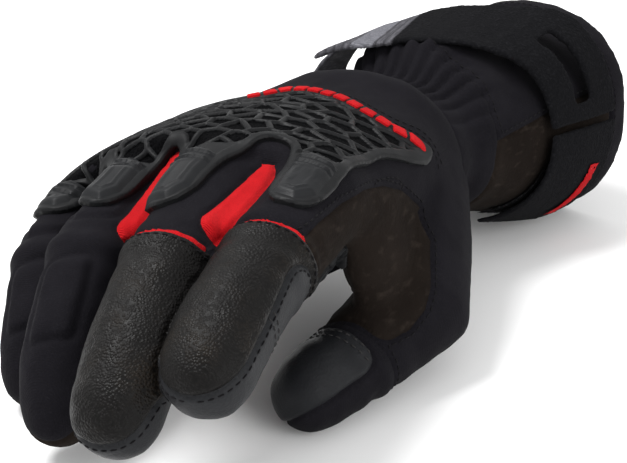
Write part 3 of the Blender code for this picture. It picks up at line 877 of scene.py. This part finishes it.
def capped_finger_panels(name):
    """Panels of the index or middle finger, whose tip is a leather cap with a grip pad below."""
    return {
        f"{name}_softshell": ("softshell", name, 0.0, [f"{name}_sleeve_back", f"{name}_knuckle_sleeve"]),
        f"{name}_suede_underside": ("suede", name, 0.0, [f"{name}_sleeve_palm"]),
        f"{name}_leather_cap": ("goat_leather", name, 0.55, [f"{name}_cap"]),
        f"{name}_grip_pad": ("grip_leather", name, 0.2, [f"{name}_tip_pad"]),
        f"{name}_red_piping": ("red_stretch", name, 0.5, [f"{name}_red_trim"]),
    }


def plain_finger_panels(name):
    """Panels of the ring or little finger, which has no cap."""
    back = [f"{name}_sleeve", f"{name}_knuckle_sleeve", f"{name}_tip_back"]
    return {
        f"{name}_softshell": ("softshell", name, 0.0, back),
        f"{name}_suede_underside": ("suede", name, 0.0, [f"{name}_tip_palm"]),
    }


for made in (capped_finger_panels("index"), capped_finger_panels("middle")):
    PANELS.update(made)
for made in (plain_finger_panels("ring"), plain_finger_panels("little")):
    PANELS.update(made)

# Borders between these are one piece of cloth on the glove, so no seam sinks there.
SEAMLESS = [{"softshell_back", f"{name}_softshell"} for name in FINGERS]
SEAMLESS += [{"suede_palm", f"{name}_suede_underside"} for name in FINGERS]
SEAMLESS += [{"suede_palm", "thumb_suede"}, {"softshell_back", "thumb_softshell"}]


def nearest_distance(points, places):
    tree = KDTree(len(places))
    for index, place in enumerate(places):
        tree.insert(place, index)
    tree.balance()
    return np.array([tree.find(point)[2] for point in points])


class Skin:
    """The whole outer surface after cutting and relief."""

    def __init__(self):
        points, faces = build_skin()
        normals = normals_of(points, faces)
        self.names, scores = skin_scores(points)
        scores = without_islands(faces, scores)
        values, self.faces, self.labels, meeting_labels = cut(np.hstack([points, normals]), faces, scores)
        rest, self.rest_normals = values[:, :3], values[:, 3:]
        border = rest[len(points) : len(points) + len(meeting_labels)]
        sewn = np.array([{self.names[a], self.names[b]} not in SEAMLESS for a, b in meeting_labels])
        self.seam = nearest_distance(rest, border[sewn])
        edge = np.exp(-((self.seam / DIP_WIDTH) ** 2))
        relief = hand_relief(rest, self.rest_normals) + wrist_relief(rest)
        relief += moulded_panels(rest) + folds(rest)
        proud = np.zeros(len(rest))
        raised = np.array([PANELS[name][2] * MM for name in self.names])
        proud[self.faces] = raised[self.labels][:, None]
        self.points = rest + self.rest_normals * (relief + proud * (1 - edge) - DIP * edge)[:, None]
        self.normals = normals_of(self.points, self.faces)
        self.tree = bvh(self.points, self.faces)

    def of(self, name):
        return self.faces[self.labels == self.names.index(name)]

    def panel(self, name):
        slot, body, _, nodes = PANELS[name]
        faces = self.of(name)
        if name == "cuff_hem_binding":
            faces = faces[~self.mouth(faces)]
        obj = solid(name, self.points, self.points - self.rest_normals * CLOTH, faces, self.normals)
        finished(obj, slot)
        seated(obj, body)
        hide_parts(*nodes)
        return obj

    def mouth(self, faces):
        """Which faces close the cuff's open end."""
        along = (self.points[faces].mean(1) - WRIST) @ CUFF_ALONG
        return (self.rest_normals[faces].mean(1) @ CUFF_ALONG > 0.6) & (along > along.max() - 8 * MM)

    def lining(self, name, sources, body, nodes, shift):
        faces = np.concatenate([self.of(source) for source in sources])
        if "cuff_hem_binding" in sources:
            faces = faces[~self.mouth(faces)]
        outer = self.points - self.rest_normals * (CLOTH + shift)
        inner = outer - self.rest_normals * 1.4 * MM
        obj = solid(name, outer, inner, faces, self.rest_normals)
        finished(obj, "fleece_lining")
        seated(obj, body)
        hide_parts(*nodes)
        return obj


def shared_points(panel, others):
    """The points of the seams between a panel and the others."""
    return np.intersect1d(SKIN.of(panel), np.concatenate([SKIN.of(name) for name in others]))


def bends_between_seams():
    """Sets the BENDS spans of the wrist and the thumb to lie between their own seams, so that both sides of
    a seam move alike.
    """
    hand_panels = ["softshell_back", "suede_palm", "thumb_softshell"]
    along, _ = around_cuff(SKIN.points)
    start = along[shared_points("shirred_wrist", hand_panels)].max()
    end = along[shared_points("shirred_wrist", ["cuff_softshell", "cuff_suede"])].min()
    BENDS["wrist"] = ("hand", "cuff", WRIST + start * CUFF_ALONG, WRIST + end * CUFF_ALONG)
    thumb = DIGITS["thumb"]
    _, along, _ = thumb.local(SKIN.points)
    hand_panels = ["softshell_back", "suede_palm"]
    seams = [shared_points(name, hand_panels) for name in ("thumb_softshell", "thumb_suede")]
    start = max(along[seam].max() for seam in seams)
    BENDS["thumb"] = ("hand", thumb.body, thumb.near(start), thumb.near(13 * MM))


SKIN = Skin()
bends_between_seams()
for panel_name in SKIN.names:
    SKIN.panel(panel_name)
cuff_parts = ["cuff_softshell", "cuff_suede", "cuff_hem_binding"]
SKIN.lining("cuff_fleece", cuff_parts, "cuff", ["cuff_liner"], 0.15 * MM)
SKIN.lining("wrist_fleece", ["shirred_wrist"], "wrist", [], 0.15 * MM)
SKIN.lining("hand_fleece", ["softshell_back", "suede_palm"], "hand", ["hand_liner"], 0.15 * MM)


# ---------------------------------------------------------------- knuckle guard

GUARD_STEP = 0.45 * MM
GUARD_AXIS = np.array([-20, 0, 15]) * MM  # rays to the guard's surface leave this line, which runs along Y
GUARD_RADIUS = 62 * MM
GUARD_SPREAD = (math.radians(-72), math.radians(58))
GUARD_REACH = (-92 * MM, 6 * MM)
RIB = 0.78 * MM  # half the width of a rib
RIM_BAND = 3.0 * MM
CELL = 6.9 * MM
RIB_HEIGHT = 1.7 * MM

# Plan of the guard in mm, from the tip of its wing on the thumb's side, round the finger tongues and back.
GUARD_OUTLINE = [
    (38.5, 1.5), (39.5, -4), (38.4, -10.2), (35.3, -19.5), (31.8, -28.5), (30, -41.8), (30.6, -60),
    (30.5, -79), (25, -86), (15, -82), (13.5, -60), (12, -53), (7, -50.5), (2, -52), (-2, -58),
    (-6.5, -66), (-6.5, -84), (-14, -91.5), (-22.5, -84), (-22.5, -62), (-24.5, -54), (-28, -52.5),
    (-31, -57), (-33, -80), (-40, -86), (-48, -80), (-48, -60), (-52, -50), (-57, -55), (-60, -69),
    (-73, -68), (-76, -52), (-77, -45), (-74, -34), (-62, -24), (-45, -16), (-28, -9), (-19, -5),
    (-13, 1), (-4.7, 1.9), (7.6, -1.8), (18, -5.3), (28, -6.5), (34, -3),
]  # fmt: skip
STRIP_LINE = [
    (-23, -9.5), (-17, -6.5), (-11, -1.8), (-4.5, -1), (7, -4.6), (17.5, -8), (27.5, -9.3), (35.5, -5),
]  # fmt: skip

# Where the sliders are, in mm: lowest x and y, highest x and y.
SLIDER_PLACES = {
    "index": ((16.5, -83.5), (28.8, -56.5)),
    "middle": ((-20.6, -89), (-8, -60)),
    "ring": ((-46, -83.5), (-34.5, -56)),
    "little": ((-71.5, -67), (-61, -50)),
}

# A slider seen from above, as shares of its width and length.
SLIDER_SHAPE = [(0.0, 0.96), (0.45, 1.0), (1.0, 0.86), (1.0, 0.22), (0.66, 0.0), (0.04, 0.10)]


def line_distance(flat, corners):
    """Distance to an open line in the plane, and how far along the line the nearest place is."""
    corners = np.array(corners, float)
    nearest = np.full(len(flat), np.inf)
    along = np.zeros(len(flat))
    done = 0.0
    for start, end in zip(corners, corners[1:]):
        step = end - start
        share = np.clip(((flat - start) @ step) / (step @ step), 0, 1)
        far = np.linalg.norm(flat - start - share[:, None] * step, axis=1)
        along = np.where(far < nearest, done + share * np.linalg.norm(step), along)
        nearest = np.minimum(nearest, far)
        done += np.linalg.norm(step)
    return nearest, along


def blurred(grid, steps):
    for _ in range(steps):
        wide = np.pad(grid, 1, mode="edge")
        grid = (wide[:-2, 1:-1] + wide[2:, 1:-1] + wide[1:-1, :-2] + wide[1:-1, 2:] + 4 * grid) / 8
    return grid


class GuardBed:
    """A fine grid laid over the knuckles, which the rubber pieces stand on."""

    def __init__(self):
        angles = np.arange(*GUARD_SPREAD, GUARD_STEP / GUARD_RADIUS)
        rows = np.arange(*GUARD_REACH, GUARD_STEP)
        radius = np.zeros((len(rows), len(angles)))
        for i, y in enumerate(rows):
            start = Vector(GUARD_AXIS) + Vector((0, y, 0))
            for j, angle in enumerate(angles):
                way = Vector((math.sin(angle), 0, math.cos(angle)))
                hit = SKIN.tree.ray_cast(start + way * 0.15, -way, 0.13)
                radius[i, j] = 0.15 - hit[3] if hit[3] is not None else 0.04
        bridged = blurred(radius, 120)
        radius = blurred(np.maximum(radius, bridged), 8)
        way = np.stack([np.sin(angles), np.zeros(len(angles)), np.cos(angles)], 1)
        points = GUARD_AXIS + radius[:, :, None] * way[None]
        points[:, :, 1] += rows[:, None]
        self.points = points.reshape(-1, 3)
        self.sheet = np.stack(np.meshgrid(angles * GUARD_RADIUS, rows), -1).reshape(-1, 2)
        index = np.arange(radius.size).reshape(radius.shape)
        a, b, c, d = (index[:-1, :-1], index[:-1, 1:], index[1:, 1:], index[1:, :-1])
        halves = [np.stack(half, -1).reshape(-1, 3) for half in ((a, b, c), (a, c, d))]
        self.faces = np.concatenate(halves)
        self.normals = normals_of(self.points, self.faces)
        if self.normals[:, 2].mean() < 0:
            self.faces = self.faces[:, ::-1]
            self.normals = -self.normals
        self.plan = self.points[:, :2] / MM

    def piece(self, name, field, height, sunk=0.6 * MM):
        """A solid standing on the bed where the field is negative, as high as given."""
        near = field[self.faces].min(1) < 0
        values = np.hstack([self.points, self.normals, height[:, None]])
        used, faces = np.unique(self.faces[near], return_inverse=True)
        scores = np.stack([field, -field], 1)[used]
        values, faces, labels, _ = cut(values[used], faces.reshape(-1, 3), scores)
        faces = faces[labels == 0]
        top = values[:, :3] + values[:, 3:6] * values[:, 6:]
        bottom = values[:, :3] - values[:, 3:6] * sunk
        return solid(name, top, bottom, faces, normals_of(top, faces))


def rib_distance(sheet, random_source):
    """Distance to the nearest rib of an uneven web of long cells."""
    stretched = sheet / (1.25, 0.92)
    low, high = stretched.min(0), stretched.max(0)
    seeds = []
    for row, y in enumerate(np.arange(low[1], high[1], CELL * 0.87)):
        for x in np.arange(low[0] + (row % 2) * CELL / 2, high[0], CELL):
            jitter = [random_source.uniform(-0.36, 0.36) * CELL for _ in range(2)]
            seeds.append(np.array([x, y]) + jitter)
    seeds = np.array(seeds)
    tree = KDTree(len(seeds))
    for index, seed in enumerate(seeds):
        tree.insert((*seed, 0), index)
    tree.balance()
    found = np.empty(len(sheet))
    for index, place in enumerate(stretched):
        (_, first, near), (_, second, far) = tree.find_n((*place, 0), 2)
        found[index] = (far**2 - near**2) / (2 * np.linalg.norm(seeds[second] - seeds[first]))
    return found


def rounded(depth, width, height):
    """Height of a moulded edge: it rises steeply from a small step and levels off inside."""
    share = np.clip(depth / width, 0, 1)
    return height * (0.35 + 0.65 * np.sqrt(1 - (1 - share) ** 2))


def build_guard():
    bed = GuardBed()
    outline = polygon_distance(bed.plan, cut_corners(GUARD_OUTLINE)) * MM
    strip, strip_along = line_distance(bed.plan, STRIP_LINE)
    strip = strip * MM
    ribs = rib_distance(bed.sheet, random.Random(7)) - RIB
    band = -RIM_BAND - outline
    tongues = bed.points[:, 1] + 57 * MM
    rubber = np.maximum(outline, np.minimum.reduce([ribs, band, tongues, strip - 2.9 * MM]))
    band_rise = 0.5 * MM * np.clip((RIM_BAND + 1 * MM + outline) / MM, 0, 1) ** 2
    height = rounded(-rubber, RIB, RIB_HEIGHT) + band_rise
    web = bed.piece("guard_web", rubber, height)
    finished(web, "guard_rubber")
    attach(web, "hand")
    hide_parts("knuckle_guard")

    base = bed.piece("guard_base_cloth", outline + 0.3 * MM, np.full(len(outline), 0.35 * MM))
    finished(base, "guard_mesh_backing")
    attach(base, "hand")
    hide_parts("guard_backing")

    bar = np.abs((strip_along / 5.4) % 1 - 0.5) * 5.4 * MM - 2.15 * MM
    bars = np.maximum(strip - 1.75 * MM, bar)
    red = bed.piece("guard_red_bars", bars, RIB_HEIGHT + 0.25 * MM + rounded(-bars, 0.7 * MM, 0.75 * MM))
    finished(red, "red_stretch")
    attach(red, "hand")
    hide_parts("guard_red_strip")

    for name in FINGERS:
        low, high = np.array(SLIDER_PLACES[name], float)
        shape = [low + (high - low) * np.array(corner) for corner in SLIDER_SHAPE]
        field = polygon_distance(bed.plan, shape) * MM
        back = (high[1] - bed.plan[:, 1]) * MM
        fins = np.clip(1 - (back - 9.5 * MM) / MM, 0, 1) * np.clip(-field / (1.5 * MM), 0, 1)
        saw = ((back - 0.25 * (bed.plan[:, 0] - low[0]) * MM) / (3.1 * MM)) % 1
        height = 1.9 * MM + np.clip(-field * 0.9, 0, 1.7 * MM) + 0.9 * MM * (saw - 0.5) * fins
        ridge = 0.5 * MM * np.clip(1 - np.abs(-field - 3.6 * MM) / (0.6 * MM), 0, 1)
        plate = bed.piece(f"{name}_knuckle_plate", field, height + ridge * (1 - fins))
        finished(plate, "slider_rubber")
        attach(plate, "hand")
        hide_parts(f"{name}_slider")
    return bed


build_guard()

# ---------------------------------------------------------------- stitches

STITCH = 1.9 * MM
STITCH_GAP = 0.9 * MM
STITCH_RADIUS = 0.27 * MM


def contours(faces, field, level):
    """Lines across the skin where the field has this level, as lists of places with normals."""
    offset = field - level
    above = offset > 0
    links = {}
    for face in faces[(above[faces].any(1)) & ~(above[faces].all(1))]:
        crossed = []
        for i in range(3):
            a, b = sorted((int(face[i]), int(face[(i + 1) % 3])))
            if above[a] != above[b]:
                crossed.append((a, b))
        first, second = crossed
        links.setdefault(first, []).append(second)
        links.setdefault(second, []).append(first)
    lines = []
    ends = [edge for edge, near in links.items() if len(near) == 1]
    left = set(links)
    for start in ends + list(links):
        if start not in left:
            continue
        line, here = [], start
        while here is not None:
            left.discard(here)
            line.append(here)
            here = next((edge for edge in links[here] if edge in left), None)
        if len(line) > 6:
            lines.append(np.array([edge_place(edge, offset) for edge in line]))
    return lines


def edge_place(edge, offset):
    a, b = edge
    share = offset[a] / (offset[a] - offset[b])
    place = SKIN.points[a] * (1 - share) + SKIN.points[b] * share
    return np.concatenate([place, SKIN.normals[a] * (1 - share) + SKIN.normals[b] * share])


def capsule(start, end, normal, radius):
    """A short thread between two places, with round ends, pressed a little into the cloth."""
    along = unit(end - start)
    side = unit(np.cross(along, normal))
    over = np.cross(side, along)
    middle, half = (start + end) / 2, np.linalg.norm(end - start) / 2
    points = [start]
    for share, girth in ((-0.85, 0.7), (-0.4, 1.0), (0.4, 1.0), (0.85, 0.7)):
        for step in range(6):
            angle = step * math.pi / 3
            ring = side * math.cos(angle) + over * math.sin(angle)
            lift = over * radius * 0.5 * (1 - share**2)
            points.append(middle + along * half * share + ring * radius * girth + lift)
    points.append(end)
    faces = [(0, 1 + (i + 1) % 6, 1 + i) for i in range(6)]
    for ring in range(3):
        for i in range(6):
            a, b = 1 + ring * 6 + i, 1 + ring * 6 + (i + 1) % 6
            faces += [(a, b, b + 6), (a, b + 6, a + 6)]
    faces += [(25, 19 + i, 19 + (i + 1) % 6) for i in range(6)]
    return np.array(points), np.array(faces)


def stitches(name, lines, body, thread):
    """A row of separate stitches along each line."""
    points, faces, start = [], [], 0
    for line in lines:
        places = line[:, :3].copy()
        for _ in range(3):
            places[1:-1] = (places[:-2] + 2 * places[1:-1] + places[2:]) / 4
        steps = np.concatenate([[0], np.cumsum(np.linalg.norm(np.diff(places, axis=0), axis=1))])
        for begin in np.arange(STITCH_GAP, steps[-1] - STITCH, STITCH + STITCH_GAP):
            ends = [[np.interp(at, steps, places[:, i]) for i in range(3)] for at in (begin, begin + STITCH)]
            normal = unit([np.interp(begin + STITCH / 2, steps, line[:, 3 + i]) for i in range(3)])
            made = capsule(np.array(ends[0]), np.array(ends[1]), normal, STITCH_RADIUS)
            points.append(made[0])
            faces.append(made[1] + start)
            start += len(made[0])
    obj = mesh_object(name, np.concatenate(points), np.concatenate(faces))
    obj.data.shade_smooth()
    obj.data.materials.append(thread)
    seated(obj, body)
    return obj


def faces_of(*names):
    return np.concatenate([SKIN.of(name) for name in names])


def between(lines, keep):
    """The parts of the lines whose places pass the test."""
    found = []
    for line in lines:
        kept = np.array([keep(*place[:3]) for place in line])
        if kept.any():
            first, last = np.flatnonzero(kept)[[0, -1]]
            found.append(line[first : last + 1])
    return [line for line in found if len(line) > 4]


def build_stitches():
    points = SKIN.points
    for name in CAP_EDGE:
        _, along, up = DIGITS[name].local(points)
        cap = SKIN.of(f"{name}_leather_cap")
        edge = contours(cap, along, CAP_EDGE[name] + 2.2 * MM)
        stitches(f"{name}_cap_stitches", edge, name, DARK_THREAD)
        pad = SKIN.of(f"{name}_grip_pad")
        seam = contours(pad, SKIN.seam, 1.7 * MM)
        stitches(f"{name}_pad_stitches", seam, name, DARK_THREAD)
    _, along, _ = DIGITS["index"].local(points)
    pad = SKIN.of("index_grip_pad")
    arcs = [line for level in (24 * MM, 26.4 * MM) for line in contours(pad, along, level)]
    stitches("index_arc_stitches", arcs, "index", GREY_THREAD)
    _, along, _ = DIGITS["thumb"].local(points)
    pad = SKIN.of("thumb_grip_pad")
    arcs = [line for level in (3 * MM, 5.4 * MM) for line in contours(pad, along, level)]
    stitches("thumb_arc_stitches", arcs, "thumb", GREY_THREAD)
    seam = contours(SKIN.of("thumb_softshell"), SKIN.seam, 1.7 * MM)
    stitches("thumb_seam_stitches", seam, "thumb", DARK_THREAD)

    outline = polygon_distance(points[:, :2] / MM, cut_corners(GUARD_OUTLINE)) * MM
    upper = points[:, 2] > 45 * MM
    outline = np.where(upper, outline, FAR)
    back = SKIN.of("softshell_back")
    rows = contours(back, outline, 4 * MM) + contours(back, outline, 6.4 * MM)
    rows = between(rows, lambda x, y, z: x > 22 * MM or y > -20 * MM)
    stitches("guard_top_stitches", rows, "hand", DARK_THREAD)
    arch = polygon_distance(points[:, 1:] / MM, SUEDE_ARCH) * MM
    row = between(contours(back, arch, 1.7 * MM), lambda x, y, z: x > SIDE_OF_HAND and z > 45 * MM)
    stitches("arch_stitches", row, "hand", DARK_THREAD)
    row = between(contours(SKIN.of("index_softshell"), arch, 1.7 * MM), lambda x, y, z: x > SIDE_OF_HAND)
    stitches("index_side_stitches", row, "index", DARK_THREAD)

    rows = contours(faces_of("cuff_softshell"), SKIN.seam, 2 * MM)
    stitches("cuff_seam_stitches", rows, "cuff", DARK_THREAD)
    rows = contours(faces_of("cuff_hem_binding"), SKIN.seam, 2.2 * MM)
    stitches("hem_stitches", rows, "cuff", DARK_THREAD)


build_stitches()

# ---------------------------------------------------------------- strap


def softened(node, name, body, voxel=0.75 * MM, steps=5, fuzz=0.0):
    """A woven or moulded copy of a CAD node: dense, with worn edges and a slight unevenness."""
    points, faces = node_surface(node)
    source = mesh_object(f"{name}_source", points, faces)
    mesh = bmesh.new()
    mesh.from_mesh(source.data)
    bmesh.ops.remove_doubles(mesh, verts=mesh.verts, dist=0.01 * MM)
    mesh.to_mesh(source.data)
    mesh.free()
    remesh = source.modifiers.new("remesh", "REMESH")
    remesh.mode, remesh.voxel_size = "VOXEL", voxel
    graph = bpy.context.evaluated_depsgraph_get()
    data = source.evaluated_get(graph).to_mesh()
    data.calc_loop_triangles()
    points = np.empty(len(data.vertices) * 3)
    data.vertices.foreach_get("co", points)
    faces = np.empty(len(data.loop_triangles) * 3, np.int32)
    data.loop_triangles.foreach_get("vertices", faces)
    points, faces = points.reshape(-1, 3), faces.reshape(-1, 3)
    bpy.data.objects.remove(source)
    points = smoothed(points, faces, steps)
    if node == "strap_band":
        points = sunk_band(points)
    normals = normals_of(points, faces)
    lift = [
        0.25 * MM * noise.noise(Vector(p) * 60) + fuzz * noise.noise(Vector(p) * 1500) for p in points
    ]
    obj = mesh_object(name, points + normals * np.array(lift)[:, None], faces)
    obj.data.shade_smooth()
    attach(obj, body)
    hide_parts(node)
    return obj


ELASTIC_END = 3 * MM  # the band is grey webbing up to here, then brushed cloth
LABEL_SPAN = (-12 * MM, -4 * MM)
SLACK = 5 * MM  # how far the band sinks towards the cuff on top of the wrist


def eased(values, start, end):
    share = np.clip((values - start) / (end - start), 0, 1)
    return share * share * (3 - 2 * share)


def sunk_band(points):
    """The band lies lower over the middle of the wrist than at its ends."""
    x = points[:, 0]
    share = eased(x, -24 * MM, 0) * (1 - eased(x, 35 * MM, 65 * MM))
    return points - np.outer(share * SLACK, (0, 0, 1))


def grey_root(band):
    """The part of the band next to the elastic is the same grey webbing, with the label on it."""
    band.data.materials.append(MATERIALS["grey_elastic"])
    band.data.materials.append(MATERIALS["woven_label"])
    for face in band.data.polygons:
        x = face.center.x
        if LABEL_SPAN[0] < x < LABEL_SPAN[1]:
            face.material_index = 2
        elif x < ELASTIC_END:
            face.material_index = 1


STRAP_PIECES = {
    "strap_band": ("brushed_strap_band", "strap_fabric", "cuff", 0.22 * MM),
    "strap_end": ("brushed_strap_end", "strap_fabric", "strap_end", 0.22 * MM),
    "strap_elastic": ("heather_elastic", "grey_elastic", "cuff", 0.06 * MM),
    "strap_label": ("plain_woven_label", "woven_label", "cuff", 0.0),
    "strap_mark": ("red_end_bars", "red_stretch", "strap_end", 0.0),
    "hook_patch": ("hook_tape_patch", "hook_tape", "strap_end", 0.15 * MM),
    "loop_patch": ("loop_tape_patch", "hook_tape", "cuff", 0.15 * MM),
}


def build_strap():
    for node, (name, slot, body, fuzz) in STRAP_PIECES.items():
        fine = node in ("strap_label", "strap_mark")
        made = softened(node, name, body, 0.6 * MM if fine else 0.75 * MM, 2 if fine else 5, fuzz)
        finished(made, slot)
        if node == "strap_band":
            grey_root(made)


build_strap()


# ---------------------------------------------------------------- camera, light and floor

CAMERA_PLACE = Vector((0.1803, -0.4583, 0.2506))
CAMERA_LOOK = Vector((-0.3378, 0.8486, -0.4072)).normalized()
CAMERA_RIGHT = Vector((0.9273, 0.3741, 0.0103))


def build_camera():
    data = bpy.data.cameras.new("camera")
    data.lens = 88.8
    data.sensor_width = 36
    data.clip_start, data.clip_end = 0.01, 20
    camera = bpy.data.objects.new("camera", data)
    right = (CAMERA_RIGHT - CAMERA_LOOK * CAMERA_RIGHT.dot(CAMERA_LOOK)).normalized()
    up = right.cross(CAMERA_LOOK)
    turn = Matrix((right, up, -CAMERA_LOOK)).transposed()
    camera.matrix_world = Matrix.Translation(CAMERA_PLACE) @ turn.to_4x4()
    bpy.context.scene.collection.objects.link(camera)
    bpy.context.scene.camera = camera


def area_light(name, place, size, power):
    data = bpy.data.lights.new(name, "AREA")
    data.shape = "DISK"
    data.size = size
    data.energy = power
    lamp = bpy.data.objects.new(name, data)
    lamp.location = place
    lamp.rotation_euler = (Vector((0, 0, 0.05)) - Vector(place)).to_track_quat("-Z", "Y").to_euler()
    bpy.context.scene.collection.objects.link(lamp)


def build_floor():
    data = bpy.data.meshes.new("floor")
    reach = 4.0
    corners = [(-reach, -reach, 0), (reach, -reach, 0), (reach, reach, 0), (-reach, reach, 0)]
    data.from_pydata(corners, [], [(0, 1, 2, 3)])
    floor = bpy.data.objects.new("floor", data)
    bpy.context.scene.collection.objects.link(floor)
    made = Finish("floor", (0.86, 0.86, 0.86), 0.9)
    made.tint(made.ramp(made.noise(3, 2), 0.3, 0.7, 0, 0.3), (0.84, 0.84, 0.84))
    data.materials.append(made.done())


build_camera()
build_floor()
area_light("key", (-0.45, -0.2, 1.0), 0.5, 16)
area_light("fill", (0.9, -0.5, 0.5), 0.8, 6)
world = bpy.data.worlds.new("studio")
bpy.context.scene.world = world
world.use_nodes = True
world.node_tree.nodes["Background"].inputs["Color"].default_value = (1, 1, 1, 1)
world.node_tree.nodes["Background"].inputs["Strength"].default_value = 1.0
bpy.context.scene.view_settings.view_transform = "Standard"
